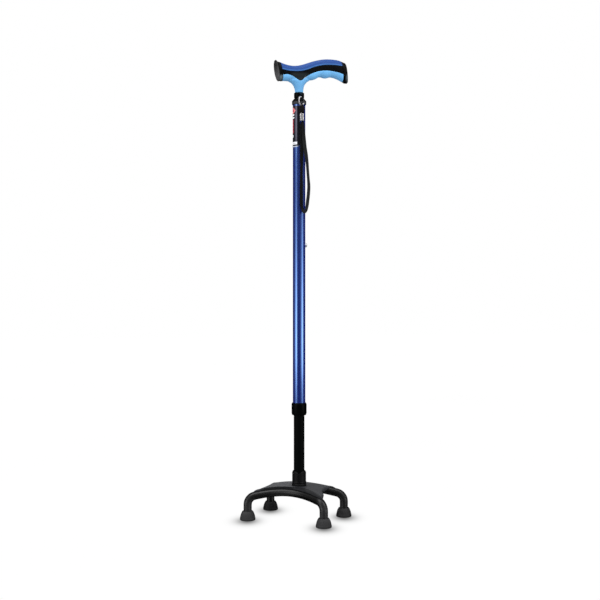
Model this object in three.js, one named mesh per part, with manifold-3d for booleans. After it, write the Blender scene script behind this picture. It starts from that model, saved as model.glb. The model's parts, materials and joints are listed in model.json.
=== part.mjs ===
// Quad walking cane: telescoping tubular shaft on a four-footed base, T-shaped
// palm handle, snap-button height setting, twist lock collar and a wrist strap.
// Millimetres, +Z up. The origin is on the floor, in the middle of the plan
// outline; everything is laid out from the axis of the shaft, at HOME_X, HOME_Y.
// The handle runs along X: its flared nose points to -X, its tail to +X.
// In the names, _R is a radius and _Z0, _Z1 are bottom and top heights.
import * as THREE from 'three';
import { mergeVertices } from 'three/addons/utils/BufferGeometryUtils.js';
import Module from 'manifold-3d';

const wasm = await Module();
wasm.setup();

// ---------------------------------------------------------------- dimensions
const GAP = 0.3;                 // usual clearance between neighbouring solids
const HOME_X = 4.364;
const HOME_Y = -3.8204;

// base: "along" runs down its long side, "across" down its short side
const BASE_TURN = -41.2;         // long side of the base about +Z, degrees
const BASE_SHIFT = -5.8;         // centre of the foot rectangle along its long side
const FOOT_ALONG = 72.5;         // half spacing of the feet, long side
const FOOT_ACROSS = 47.2;        // half spacing of the feet, short side
const LEG_R = 7.0;
const LEG_BORE_R = 5.8;
const LEG_FIT_R = LEG_R + GAP + 0.1;   // easy fit round a leg tube
const LEG_STEPS = 26;
const LEG_SIDES = 14;
const LEG_BORE_SIDES = 6;
const LEG_FOOT_Z = 5.9;          // lower end of the leg tubes
const TIP_H = 15.8;              // rubber tip height
const TIP_R = 13.5;              // rubber tip sole
const TIP_TOP_R = 9.2;           // rubber tip rim
const ARCH_ACROSS = 30.5;        // half spacing of the leg tubes at the middle of the arch
const ARCH_Z = 51.1;             // height of their centre lines there
const ARCH_DROP = 8.33;          // drop of the centre line ARCH_DROP_ALONG from the middle
const ARCH_DROP_ALONG = 60;
const ARCH_DROP_POWER = 1.9;     // how the drop grows with distance
const BEND_ALONG = 62.0;         // where the arch turns down into the legs
const BEND_Z = 28.0;             // where the leg is upright
const PLATE_OVER = 1.5;          // how far the plate stands over the tubes
const PLATE_WRAP = 32;           // how far it wraps down their outer sides, degrees
const SOCKET_R = 12.3;           // shaft socket
const SOCKET_Z0 = 59.7;
const SOCKET_Z1 = 85.0;
const NOTCH_DIR = -108;          // direction the socket's V notch faces, degrees
const BASE_BOLT_R = 4.0;
const BASE_BOLT_Z1 = 76.4;
const BASE_BOLT_HEAD_Z1 = 52.2;
const BASE_BOLT_HOLE_R = 4.4;    // in the plate and the washer

// shaft
const LOWER_R = 9.525;           // lower tube, 19.05 mm outside
const LOWER_BORE_R = 8.3;
const LOWER_Z0 = 60.2;
const LOWER_Z1 = 503.0;
const UPPER_R = 11.1;            // upper tube, 22.2 mm outside
const UPPER_BORE_R = 9.875;
const UPPER_Z0 = 192.2;
const UPPER_Z1 = 737.0;
const HOLE_R = 4.2;              // height holes
const HOLE_PITCH = 25.0;
const HOLE_COUNT = 7;
const BUTTON_Z = 485.0;          // height hole in use
const BUTTON_R = 3.75;
const BUTTON_OUT = 14.6;         // how far the button's nose stands from the axis
const COLLAR_R = 13.4;           // twist lock collar
const COLLAR_Z0 = 183.7;
const COLLAR_Z1 = 205.7;
const COLLAR_BORE_R = LOWER_R + 0.45;
const COLLAR_MOUTH_R = UPPER_R + GAP + 0.05;
const BUSH_R = 12.0;             // bush inside the collar
const BUSH_Z0 = 187.2;
const LABEL_Z0 = 659;
const LABEL_H = 72;
const LABEL_HALF_ANGLE = 60;     // degrees either side of -X
const LABEL_STEPS = 10;

// neck
const NUT_R = 12.7;              // cap nut on the upper tube
const NUT_Z0 = 734.0;
const NUT_Z1 = 741.0;
const STRAP_COLLAR_R = 9.05;
const STRAP_COLLAR_Z0 = 749.9;
const STRAP_COLLAR_Z1 = 755.0;
const STEM_R = 4.5;              // steel stem inside the neck
const STEM_Z1 = 772;

// strap hardware
const EYE = new THREE.Vector3(-1.6, -19.2, 745.3);   // eye of the strap collar
const EYE_R = 2.15;              // eye, to the middle of its wire
const EYE_WIRE_R = 0.8;
const RING_TURN = 45;            // way the ring's flat side faces, from -Y towards +X, degrees
const RING_R = 7.6;              // ring, to the middle of its wire
const RING_WIRE_R = 0.95;
const STRAP_TURN = -18;          // broad side of tab, crimp and loop about +Z, degrees

// handle
const CAP_FRONT_X = -34.3;       // front cap meets the grip, at CAP_MID_Z
const CAP_REAR_X = 80.5;         // rear cap meets the grip, at CAP_MID_Z
const CAP_SLANT = 0.14;          // both joints lean: foot further towards the tail
const CAP_MID_Z = 794.0;
const HANDLE_SIDES = 20;
const HANDLE_BOLT_R = 2.4;
const HANDLE_BOLT_HOLE_R = 2.9;  // in the stem and the handle
const HEAD_R = 4.6;              // head of the handle bolt
const HEAD_Z0 = 785.9;
const HEAD_Z1 = 789.4;

// ---------------------------------------------------------------- materials
const standard = (settings) => new THREE.MeshStandardMaterial(settings);
const metal = (settings) => standard({ metalness: 1.0, ...settings });
const plastic = (settings) => standard({ metalness: 0.0, ...settings });
const MAT = {
  legPaint: plastic({ color: 0x3c3d40, roughness: 0.45 }),
  plate: plastic({ color: 0x3b3d42, roughness: 0.55 }),
  socket: plastic({ color: 0x242528, roughness: 0.45 }),
  rubber: plastic({ color: 0x38393b, roughness: 0.85 }),
  zinc: metal({ color: 0xb9bcc0, roughness: 0.35 }),
  lowerTube: plastic({ color: 0x060708, roughness: 0.3 }),
  upperTube: standard({ color: 0x27398c, roughness: 0.22, metalness: 0.9 }),
  blackPlastic: plastic({ color: 0x0c0d0e, roughness: 0.4 }),
  nut: plastic({ color: 0x3f4042, roughness: 0.35 }),
  button: metal({ color: 0xe4e6e8, roughness: 0.2 }),
  spring: metal({ color: 0x8d9197, roughness: 0.3 }),
  core: plastic({ color: 0x17181b, roughness: 0.5 }),
  grip: plastic({ color: 0x76b7e9, roughness: 0.5 }),
  pad: plastic({ color: 0x2c579c, roughness: 0.55 }),
  cap: plastic({ color: 0x1c1e20, roughness: 0.5 }),
  chrome: metal({ color: 0xe8e8ea, roughness: 0.12 }),
  leather: plastic({ color: 0x1d1213, roughness: 0.6 }),
  strap: plastic({ color: 0x17181a, roughness: 0.8 }),
  label: plastic({ color: 0x14151c, roughness: 0.4 }),
};

// ---------------------------------------------------------------- helpers
const rad = THREE.MathUtils.degToRad;
const vector = (x, y, z) => new THREE.Vector3(x, y, z);

// indexed, positions only, no collapsed triangles, faces turned outward
function oriented(geometry) {
  const bare = new THREE.BufferGeometry();
  bare.setAttribute('position', geometry.attributes.position);
  bare.setIndex(geometry.index);
  const merged = mergeVertices(bare, 1e-4);
  const source = merged.index.array;
  const corner = [vector(), vector(), vector()];
  const index = [];
  let volume = 0;
  for (let i = 0; i < source.length; i += 3) {
    const triangle = [source[i], source[i + 1], source[i + 2]];
    if (new Set(triangle).size < 3) continue;
    index.push(...triangle);
    triangle.forEach((v, k) => corner[k].fromBufferAttribute(merged.attributes.position, v));
    volume += corner[0].dot(corner[1].cross(corner[2]));
  }
  if (volume < 0) {
    for (let i = 0; i < index.length; i += 3) {
      [index[i], index[i + 1]] = [index[i + 1], index[i]];
    }
  }
  merged.setIndex(index);
  return merged;
}

function solid(geometry) {
  const clean = oriented(geometry);
  return new wasm.Manifold(new wasm.Mesh({
    numProp: 3,
    vertProperties: new Float32Array(clean.attributes.position.array),
    triVerts: new Uint32Array(clean.index.array),
  }));
}

function indexed(positions, index) {
  const geometry = new THREE.BufferGeometry();
  const array = new Float32Array(positions);
  geometry.setAttribute('position', new THREE.BufferAttribute(array, 3));
  geometry.setIndex(index);
  return geometry;
}

function shell(manifold) {
  const mesh = manifold.getMesh();
  return indexed(mesh.vertProperties, Array.from(mesh.triVerts));
}

// a manifold less, or plus, a list of geometries
const cut = (body, ...tools) => tools.reduce((rest, tool) => rest.subtract(solid(tool)), body);
const join = (body, ...others) => others.reduce((sum, other) => sum.add(solid(other)), body);

// count points, each made from its angle round a full turn
const around = (count, pointAt) =>
  Array.from({ length: count }, (_, i) => pointAt(2 * Math.PI * i / count));

const shapeOf = (points) => new THREE.Shape(points.map(([x, y]) => new THREE.Vector2(x, y)));

const extrude = (shape, depth) =>
  new THREE.ExtrudeGeometry(shape, { depth, bevelEnabled: false });

// profile of [radius, z] pairs spun about +Z
function spin(profile, sides) {
  const points = profile.map(([radius, z]) => new THREE.Vector2(radius, z));
  const geometry = new THREE.LatheGeometry(points, sides);
  geometry.rotateX(Math.PI / 2);
  return geometry;
}

// hollow sleeve about +Z
const sleeve = (inner, outer, z0, z1, sides) =>
  spin([[inner, z0], [outer, z0], [outer, z1], [inner, z1], [inner, z0]], sides);

const rod = (radius, z0, z1, sides) =>
  spin([[0, z0], [radius, z0], [radius, z1], [0, z1]], sides);

// geometry made about one axis, turned onto another and moved
function place(geometry, axis, direction, position) {
  geometry.applyQuaternion(new THREE.Quaternion().setFromUnitVectors(axis, direction));
  geometry.translate(position.x, position.y, position.z);
  return geometry;
}

const Y_AXIS = vector(0, 1, 0);
const Z_AXIS = vector(0, 0, 1);

// round bar from one point to another
function bar(radius, from, to, sides) {
  const run = vector().subVectors(to, from);
  const middle = vector().addVectors(from, to).multiplyScalar(0.5);
  const geometry = new THREE.CylinderGeometry(radius, radius, run.length(), sides);
  return place(geometry, Y_AXIS, run.normalize(), middle);
}

function block({ size, at }) {
  const geometry = new THREE.BoxGeometry(...size);
  geometry.translate(...at);
  return geometry;
}

// outline in the XZ plane pushed along Y
function slabXZ(points, y0, y1) {
  const geometry = extrude(shapeOf(points), y1 - y0);
  geometry.rotateX(Math.PI / 2);          // shape y becomes z, depth runs to -y
  geometry.translate(0, y1, 0);
  return geometry;
}

// skin through rings with equal point counts: closed by end fans, or, as a
// loop, by joining the last ring to the first
function loft(rings, { loop = false } = {}) {
  const count = rings[0].length;
  const positions = rings.flat().flatMap((point) => point.toArray());
  const index = [];
  const bands = loop ? rings.length : rings.length - 1;
  for (let i = 0; i < bands; i++) {
    const here = i * count;
    const next = ((i + 1) % rings.length) * count;
    for (let j = 0; j < count; j++) {
      const k = (j + 1) % count;
      index.push(here + j, here + k, next + k, here + j, next + k, next + j);
    }
  }
  if (loop) return indexed(positions, index);

  for (const [row, flip] of [[0, true], [rings.length - 1, false]]) {
    const middle = vector();
    for (const point of rings[row]) middle.addScaledVector(point, 1 / count);
    const centre = positions.length / 3;
    positions.push(...middle.toArray());
    for (let j = 0; j < count; j++) {
      const first = row * count + j;
      const second = row * count + (j + 1) % count;
      index.push(centre, ...(flip ? [second, first] : [first, second]));
    }
  }
  return indexed(positions, index);
}

// table lookup with straight lines between the [x, value] points
function lookUp(table, x) {
  if (x <= table[0][0]) return table[0][1];
  for (let i = 1; i < table.length; i++) {
    if (x <= table[i][0]) {
      const [x0, y0] = table[i - 1];
      const [x1, y1] = table[i];
      return y0 + (y1 - y0) * (x - x0) / (x1 - x0);
    }
  }
  return table[table.length - 1][1];
}

// ---------------------------------------------------------------- groups
const part = new THREE.Group();
const cane = new THREE.Group();
cane.position.set(HOME_X, HOME_Y, 0);
part.add(cane);
const base = new THREE.Group();
base.rotation.z = rad(BASE_TURN);
cane.add(base);

function add(name, geometry, material, parent = cane) {
  const mesh = new THREE.Mesh(oriented(geometry), material);
  mesh.name = name;
  parent.add(mesh);
  return mesh;
}

// ================================================================= base
// Centre line of a leg tube: bowed towards its partner, arched, upright legs.
// Points are [along, outward, up] from the middle of the base.
function archPoint(along) {
  const share = Math.abs(along) / FOOT_ALONG;
  return [
    along,
    ARCH_ACROSS + (FOOT_ACROSS - ARCH_ACROSS) * share * share,
    ARCH_Z - ARCH_DROP * (Math.abs(along) / ARCH_DROP_ALONG) ** ARCH_DROP_POWER,
  ];
}

function archPoints() {
  const half = [0, 11, 22, 33, 44, 53].map(archPoint);
  for (const degrees of [8, 30, 50, 70, 90]) {
    const turn = rad(degrees);
    const reach = BEND_ALONG + (FOOT_ALONG - BEND_ALONG) * Math.sin(turn);
    const [along, across, up] = archPoint(reach);
    half.push([along, across, up - (1 - Math.cos(turn)) * (up - BEND_Z)]);
  }
  half.push([FOOT_ALONG, FOOT_ACROSS, 15], [FOOT_ALONG, FOOT_ACROSS, LEG_FOOT_Z]);
  const mirrored = half.slice(1).reverse().map(([along, across, up]) => [-along, across, up]);
  return [...mirrored, ...half];
}
const ARCH = archPoints();

// side -1 is the front tube (-Y in the base), 1 the rear; bore 0 makes it solid
function legTube(side, shift, radius, bore) {
  const points = ARCH.map(([along, across, up]) => vector(shift + along, side * across, up));
  const curve = new THREE.CatmullRomCurve3(points, false, 'centripetal');
  const circle = (size, sides) => around(sides, (angle) =>
    new THREE.Vector2(size * Math.cos(angle), size * Math.sin(angle)));
  const shape = new THREE.Shape(circle(radius, LEG_SIDES));
  if (bore > 0) shape.holes.push(new THREE.Path(circle(bore, LEG_BORE_SIDES).reverse()));
  return new THREE.ExtrudeGeometry(shape, {
    steps: LEG_STEPS, extrudePath: curve, bevelEnabled: false,
  });
}

const rubberTip = () => spin([
  [0, 0], [TIP_R - 0.6, 0], [TIP_R, 0.9], [TIP_R, 3.9], [TIP_R - 0.9, 6.6],
  [TIP_R - 2.2, 11.0], [TIP_TOP_R + 0.6, TIP_H - 1.3], [TIP_TOP_R - 0.6, TIP_H],
  [LEG_FIT_R, TIP_H], [LEG_FIT_R, 3.8], [0, 3.8],
], 18);

const tipWasher = () => rod(6.7, 4.1, 5.5, 12);

// left end of the plate (-X), nearly straight: [across, distance from the middle]
const PLATE_LEFT = [
  [-60, 62.0], [-45, 62.0], [-30, 62.3], [-10, 61.6], [5, 61.0], [18, 61.2],
  [28, 63.2], [36, 66.8], [41, 69.2], [49, 69.5], [60, 69.5],
];
// right end (+X), hollowed: [across, distance from the middle]
const PLATE_RIGHT = [
  [-60, 69.5], [-49, 69.5], [-41, 69.2], [-37, 67.6], [-28, 64.6], [-18, 61.2],
  [-11, 56.5], [0, 51.7], [12, 49.6], [26, 49.6], [35, 51.2], [39, 54.0],
  [44, 57.0], [52, 60.0], [60, 62.0],
];

// half of the plate's cross-section, from the middle over the tube and back
// underneath: [outward, height over the tube's centre line]
function plateHalfSection(across) {
  const outer = LEG_R + PLATE_OVER;
  const onTube = (radius, degrees) =>
    [across + radius * Math.sin(rad(degrees)), radius * Math.cos(rad(degrees))];
  return [
    [0, outer - 0.6], [across * 0.55, outer - 0.3], [across - 3, outer],
    ...[0, 16, PLATE_WRAP].map((degrees) => onTube(outer, degrees)),
    ...[PLATE_WRAP, 12, -12].map((degrees) => onTube(LEG_FIT_R, degrees)),
    [across - 5, 4.2], [across * 0.5, 3.8], [0, 3.6],
  ];
}

// one closed ring of the plate, square to the arch as seen from the side
function plateRing([along, across, up], before, after) {
  const length = Math.hypot(after[0] - before[0], after[2] - before[2]);
  const normalX = -(after[2] - before[2]) / length;
  const normalZ = (after[0] - before[0]) / length;
  const half = plateHalfSection(across);
  const points = (section, side) => section.map(([outward, height]) =>
    vector(along + normalX * height, side * outward, up + normalZ * height));
  return [...points(half, -1), ...points(half.slice(1, -1).reverse(), 1)];
}

// block that trims one end of the plate to its curve
function plateEndCut(side, edge) {
  const outline = [[-60, 120], ...edge, [60, 120]];
  return extrude(shapeOf(outline.map(([across, along]) => [side * along, across])), 100);
}

// saddle plate: arched web that wraps over both tubes
function basePlate() {
  const stations = ARCH.filter(([along]) => Math.abs(along) <= FOOT_ALONG - 0.5);
  const last = stations.length - 1;
  const rings = stations.map((station, i) =>
    plateRing(station, stations[Math.max(0, i - 1)], stations[Math.min(last, i + 1)]));
  const boltHole = rod(BASE_BOLT_HOLE_R, 0, 100, 16);
  boltHole.translate(-BASE_SHIFT, 0, 0);
  return shell(cut(
    solid(loft(rings)),
    plateEndCut(-1, PLATE_LEFT),
    plateEndCut(1, PLATE_RIGHT),
    legTube(-1, 0, LEG_R + GAP, 0),
    legTube(1, 0, LEG_R + GAP, 0),
    boltHole,
  ));
}

// sleeve with a foot flange, a V notch and a slit below the notch
function shaftSocket() {
  const bore = LOWER_R + GAP;
  const body = spin([
    [bore, SOCKET_Z0], [SOCKET_R + 0.5, SOCKET_Z0], [SOCKET_R + 0.5, SOCKET_Z0 + 2.6],
    [SOCKET_R, SOCKET_Z0 + 3.2], [SOCKET_R, SOCKET_Z1 - 3.4],
    [SOCKET_R - 0.9, SOCKET_Z1 - 2.0], [SOCKET_R - 1.3, SOCKET_Z1],
    [bore, SOCKET_Z1], [bore, SOCKET_Z0],
  ], 24);
  const notch = slabXZ([
    [-3.4, SOCKET_Z1 + 1], [3.4, SOCKET_Z1 + 1], [0.35, SOCKET_Z1 - 4.4],
    [0.35, SOCKET_Z0 + 4.5], [-0.35, SOCKET_Z0 + 4.5], [-0.35, SOCKET_Z1 - 4.4],
  ], 6, 16);
  notch.rotateZ(rad(NOTCH_DIR) - Math.PI / 2);
  return shell(cut(solid(body), notch));
}

const baseBoltWasher = () =>
  sleeve(BASE_BOLT_HOLE_R, 8.5, BASE_BOLT_HEAD_Z1 + GAP, 54.0, 14);

// from below, through the plate into the lower tube's plug
const baseBolt = () => spin([
  [0, 47.0], [5.6, 47.0], [6.2, 47.7], [6.2, 51.5], [5.9, BASE_BOLT_HEAD_Z1],
  [BASE_BOLT_R, BASE_BOLT_HEAD_Z1], [BASE_BOLT_R, BASE_BOLT_Z1 - 1],
  [3.4, BASE_BOLT_Z1], [0, BASE_BOLT_Z1],
], 12);

add('front_leg_tube', legTube(-1, BASE_SHIFT, LEG_R, LEG_BORE_R), MAT.legPaint, base);
add('rear_leg_tube', legTube(1, BASE_SHIFT, LEG_R, LEG_BORE_R), MAT.legPaint, base);
for (const [endName, end] of [['left', -1], ['right', 1]]) {
  for (const [sideName, side] of [['front', -1], ['rear', 1]]) {
    const where = `${sideName}_${endName}`;
    const tip = add(`${where}_rubber_tip`, rubberTip(), MAT.rubber, base);
    const washer = add(`${where}_tip_washer`, tipWasher(), MAT.zinc, base);
    for (const mesh of [tip, washer]) {
      mesh.position.set(BASE_SHIFT + end * FOOT_ALONG, side * FOOT_ACROSS, 0);
    }
  }
}
add('base_plate', basePlate(), MAT.plate, base).position.x = BASE_SHIFT;
add('shaft_socket', shaftSocket(), MAT.socket);
add('base_bolt_washer', baseBoltWasher(), MAT.zinc);
add('base_bolt', baseBolt(), MAT.zinc);

// ================================================================= lower shaft
const INSIDE_LOWER_R = LOWER_BORE_R - GAP;

// cutter for a hole in the +X wall of a tube
const heightHole = (z, x0, x1) => bar(HOLE_R, vector(x0, 0, z), vector(x1, 0, z), 12);

function lowerTube() {
  const tube = sleeve(LOWER_BORE_R, LOWER_R, LOWER_Z0, LOWER_Z1, 24);
  return shell(cut(solid(tube), heightHole(BUTTON_Z, 2, 16)));
}

function lowerTubePlug() {
  const bore = BASE_BOLT_R + GAP;
  const boreTop = BASE_BOLT_Z1 + 0.4;
  const bottom = LOWER_Z0 + GAP;
  return spin([
    [0, boreTop], [bore, boreTop], [bore, bottom], [INSIDE_LOWER_R, bottom],
    [INSIDE_LOWER_R, 83.4], [7.4, 84], [0, 84],
  ], 14);
}

// flanged ring in the top of the lower tube
function lowerTubeGuide() {
  const bore = 5.0;
  const bottom = LOWER_Z1 - 9;
  const flange = LOWER_Z1 + GAP;
  const top = LOWER_Z1 + 4;
  return spin([
    [bore, bottom], [INSIDE_LOWER_R, bottom], [INSIDE_LOWER_R, flange], [LOWER_R, flange],
    [LOWER_R, top - 0.7], [LOWER_R - 0.8, top], [bore, top], [bore, bottom],
  ], 20);
}

// flanged button pointing to +X
function snapButton() {
  const button = spin([
    [0, 6.2], [4.0, 6.2], [4.0, 6.85], [BUTTON_R, 6.85], [BUTTON_R, BUTTON_OUT - 1.7],
    [3.2, BUTTON_OUT - 0.7], [2.0, BUTTON_OUT - 0.15], [0, BUTTON_OUT],
  ], 14);
  button.rotateY(Math.PI / 2);
  button.translate(0, 0, BUTTON_Z);
  return button;
}

// bent leaf spring, outer face then inner face: [x, height from the button]
const SPRING_OUTLINE = [
  [5.9, 5], [5.9, -7], [2.6, -33], [1.2, -36.4],
  [-1.2, -36.4], [-4.0, -33], [-7.7, -7], [-7.7, 5],
  [-7.1, 5], [-7.1, -7], [-3.4, -32.6], [-0.9, -35.8],
  [0.9, -35.8], [2.0, -32.6], [5.3, -7], [5.3, 5],
];
const snapSpring = () =>
  slabXZ(SPRING_OUTLINE.map(([x, height]) => [x, BUTTON_Z + height]), -2.2, 2.2);

add('lower_tube', lowerTube(), MAT.lowerTube);
add('lower_tube_plug', lowerTubePlug(), MAT.zinc);
add('lower_tube_guide', lowerTubeGuide(), MAT.blackPlastic);
add('snap_button', snapButton(), MAT.button);
add('snap_spring', snapSpring(), MAT.spring);

// ================================================================= upper shaft
function upperTube() {
  const holes = Array.from({ length: HOLE_COUNT }, (_, i) =>
    heightHole(BUTTON_Z + (i - (HOLE_COUNT - 1) / 2) * HOLE_PITCH, 4, 18));
  return shell(cut(solid(sleeve(UPPER_BORE_R, UPPER_R, UPPER_Z0, UPPER_Z1, 28)), ...holes));
}

const collarBush = () => sleeve(LOWER_R + 0.4, BUSH_R, BUSH_Z0, UPPER_Z0 - GAP, 20);

// collar with a recess for the bush and a wider mouth for the upper tube
function lockCollar() {
  const recess = BUSH_R + 0.35;
  const recessZ0 = BUSH_Z0 - 0.4;
  const recessZ1 = UPPER_Z0 + 0.4;
  return spin([
    [COLLAR_BORE_R, COLLAR_Z0], [11.9, COLLAR_Z0], [COLLAR_R - 0.2, COLLAR_Z0 + 1.7],
    [COLLAR_R, COLLAR_Z0 + 3.0], [COLLAR_R, COLLAR_Z1 - 2.6], [12.2, COLLAR_Z1],
    [COLLAR_MOUTH_R, COLLAR_Z1], [COLLAR_MOUTH_R, recessZ1], [recess, recessZ1],
    [recess, recessZ0], [COLLAR_BORE_R, recessZ0], [COLLAR_BORE_R, COLLAR_Z0],
  ], 24);
}

// thin curved sheet on the -X side of the upper tube
function tubeLabel() {
  const arc = (radius) => Array.from({ length: LABEL_STEPS + 1 }, (_, i) => {
    const half = rad(LABEL_HALF_ANGLE);
    const angle = Math.PI - half + 2 * half * i / LABEL_STEPS;
    return [radius * Math.cos(angle), radius * Math.sin(angle)];
  });
  const outline = [...arc(UPPER_R + 0.65), ...arc(UPPER_R + 0.35).reverse()];
  const label = extrude(shapeOf(outline), LABEL_H);
  label.translate(0, 0, LABEL_Z0);
  return label;
}

add('upper_tube', upperTube(), MAT.upperTube);
add('collar_bush', collarBush(), MAT.blackPlastic);
add('lock_collar', lockCollar(), MAT.blackPlastic);
add('tube_label', tubeLabel(), MAT.label);

// ================================================================= neck
const STEM_HOLE_R = STEM_R + GAP;
const NUT_BORE_R = UPPER_R + GAP;

const capNut = () => spin([
  [NUT_BORE_R, NUT_Z0], [NUT_R - 0.4, NUT_Z0], [NUT_R, NUT_Z0 + 0.5],
  [NUT_R, NUT_Z1 - 0.8], [NUT_R - 0.9, NUT_Z1], [9.6, 743.6], [8.4, 744.1],
  [7.4, STRAP_COLLAR_Z0 - GAP], [STEM_HOLE_R, STRAP_COLLAR_Z0 - GAP],
  [STEM_HOLE_R, UPPER_Z1 + GAP], [NUT_BORE_R, UPPER_Z1 + GAP], [NUT_BORE_R, NUT_Z0],
], 24);

const stemBush = () => sleeve(STEM_HOLE_R, UPPER_BORE_R - 0.4, 700, 736.8, 18);

// stem with a blind hole for the handle bolt in its top
const handleStem = () => spin([
  [0, 696], [STEM_R, 696], [STEM_R, STEM_Z1], [HANDLE_BOLT_HOLE_R, STEM_Z1],
  [HANDLE_BOLT_HOLE_R, 756], [0, 756],
], 14);

// way the ring's flat side faces, and the line through the eye
const ringTurn = rad(RING_TURN);
const RING_FACE = vector(Math.sin(ringTurn), -Math.cos(ringTurn), 0);
const PIN = vector(Math.cos(ringTurn), Math.sin(ringTurn), 0);

// collar with an eye, its hole running along PIN, on a short arm
function strapCollar() {
  const [outer, z0, z1] = [STRAP_COLLAR_R, STRAP_COLLAR_Z0, STRAP_COLLAR_Z1];
  const body = spin([
    [STEM_HOLE_R, z0], [outer - 0.5, z0], [outer, z0 + 0.6], [outer, z1 - 0.6],
    [outer - 0.5, z1], [STEM_HOLE_R, z1], [STEM_HOLE_R, z0],
  ], 22);
  const eye = place(new THREE.TorusGeometry(EYE_R, EYE_WIRE_R, 8, 14), Z_AXIS, PIN, EYE);
  const outward = vector(EYE.x, EYE.y, 0).normalize();
  const armStart = vector(0, 0, (z0 + z1) / 2).addScaledVector(outward, outer - 1.5);
  const armEnd = vector(EYE.x, EYE.y, EYE.z + 2.5);
  return shell(join(solid(body), bar(1.2, armStart, armEnd, 10), eye));
}

add('cap_nut', capNut(), MAT.nut);
add('stem_bush', stemBush(), MAT.blackPlastic);
add('handle_stem', handleStem(), MAT.zinc);
add('strap_collar', strapCollar(), MAT.blackPlastic);

// ================================================================= handle
// top and bottom lines of the handle: [x, z]
const TOP = [
  [-34, 806.2], [-30.8, 805.1], [-27, 804.1], [-23.4, 803.2], [-19.7, 802.6],
  [-12.3, 802.0], [-4.9, 802.7], [2.6, 804.4], [10.1, 806.8], [17.6, 809.6],
  [25.1, 812.3], [32.7, 814.5], [40.2, 816.3], [47.8, 817.5], [55.4, 818.0],
  [63, 818.0], [70.7, 817.4], [78.3, 815.8], [84, 813.8], [87, 811.6],
];
const BOTTOM = [
  [-34, 774.0], [-30.8, 774.7], [-27, 775.2], [-19.7, 775.2], [-10, 775.6],
  [0, 776.6], [10, 778.0], [17.6, 778.7], [21.4, 779.3], [25.1, 779.9],
  [28.9, 781.2], [32.7, 783.2], [36.5, 785.4], [40.2, 785.9], [44, 785.0],
  [47.8, 784.3], [51.6, 784.8], [55.4, 786.0], [59.2, 786.8], [63, 786.4],
  [66.9, 785.7], [70.7, 784.4], [74.5, 782.9], [78.3, 781.2], [82.2, 779.2],
  [86, 776.9], [87, 776.6],
];
// [x, half width]
const HALF_WIDTH = [
  [-34, 12.0], [-26, 12.2], [-10, 12.8], [10, 13.2], [40, 13.4], [65, 13.2],
  [78, 12.4], [84, 11.6], [87, 10.6],
];
// x of the upright sections that follow those three tables
const BEAM_X = [
  -34.0, -29, -22, -14, -5, 4, 13, 21, 28.9, 32.7, 36.5, 40.2, 44, 47.8, 52, 57, 63, 69, 75, 81,
];
const BEAM_POWER = 2.25;
// domed face and flared rim of the nose, then the rounded tail, tops leaning to -X:
// [x, centre z, half height, half width, lean in degrees, superellipse power]
const NOSE_SECTIONS = [
  [-43.2, 792.2, 6, 4.2, 10.5, 2],
  [-42.9, 792.2, 12.3, 8.4, 10.5, 2],
  [-42.1, 792.2, 16.2, 11.2, 10.5, 2],
  [-41.4, 792.2, 17.6, 12.2, 10.5, 2],
  [-40.4, 792.1, 17.8, 12.4, 10.5, 2],
  [-38.9, 791.6, 17.1, 12.0, 8.5, 2.05],
  [-36.9, 791.0, 16.4, 11.7, 5, 2.1],
];
const TAIL_SECTIONS = [
  [85.0, 795.6, 17.9, 11.2, 4, BEAM_POWER],
  [87.6, 794.4, 16.9, 9.8, 8, 2.2],
  [89.0, 793.8, 14.6, 8.0, 9, 2.1],
  [89.9, 793.4, 9.6, 4.8, 9, 2],
];
// neck flare, level oval sections: [z, x towards the nose, x towards the tail, half width]
const NECK_SECTIONS = [
  [755.3, -7.3, 7.1, 7.2], [759, -7.5, 7.2, 7.3], [763.7, -8.5, 7.8, 7.7],
  [767, -10.0, 8.6, 8.2], [770.4, -12.3, 10.2, 8.9], [773.3, -16.0, 12.6, 9.7],
  [775.4, -20.5, 14.6, 10.2], [778.2, -22.5, 18.6, 10.6], [781.5, -20.0, 21.0, 10.2],
  [786, -14.0, 14.0, 8.0],
];
// upper and lower edge of the dark band between grip and pad: [x, z]
const BAND_TOP = [
  [-34, 792.6], [-25.8, 791.0], [-13.8, 790.5], [-0.6, 792.0], [10.2, 796.0],
  [22.3, 801.6], [34.4, 804.8], [46.6, 806.0], [65, 806.4], [78.5, 806.0],
];
const BAND_LOW = [
  [-34, 785.4], [-25.8, 787.0], [-16.2, 784.8], [-7.9, 780.6], [-3.1, 777.4],
  [-0.7, 776.8], [1.7, 777.5], [6.6, 782.2], [16.2, 789.6], [28.3, 795.0],
  [40.5, 797.6], [52.7, 798.4], [65, 797.0], [78.5, 793.8],
];
// hidden tongues of the two caps and their pockets in the core
const FRONT_TONGUE = { size: [14.6, 9.4, 3.4], at: [-28.4, 0, 789.2] };
const FRONT_POCKET = { size: [15.4, 10.0, 4.0], at: [-28.0, 0, 789.2] };
const REAR_TONGUE = { size: [16.6, 9.4, 5.0], at: [73.4, 0, 801.0] };
const REAR_POCKET = { size: [17.4, 10.0, 5.8], at: [73.2, 0, 801.0] };

// superellipse ring across X, leaning by the given degrees
function beamRing([x, centreZ, halfHeight, halfWidth, degrees, power]) {
  const lean = rad(degrees);
  const swell = (value) => Math.sign(value) * Math.abs(value) ** (2 / power);
  return around(HANDLE_SIDES, (angle) => {
    const height = halfHeight * swell(Math.sin(angle));
    return vector(
      x - Math.sin(lean) * height,
      halfWidth * swell(Math.cos(angle)),
      centreZ + Math.cos(lean) * height,
    );
  });
}

function beamSection(x) {
  const top = lookUp(TOP, x);
  const bottom = lookUp(BOTTOM, x);
  return [x, (top + bottom) / 2, (top - bottom) / 2, lookUp(HALF_WIDTH, x), 0, BEAM_POWER];
}

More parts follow.
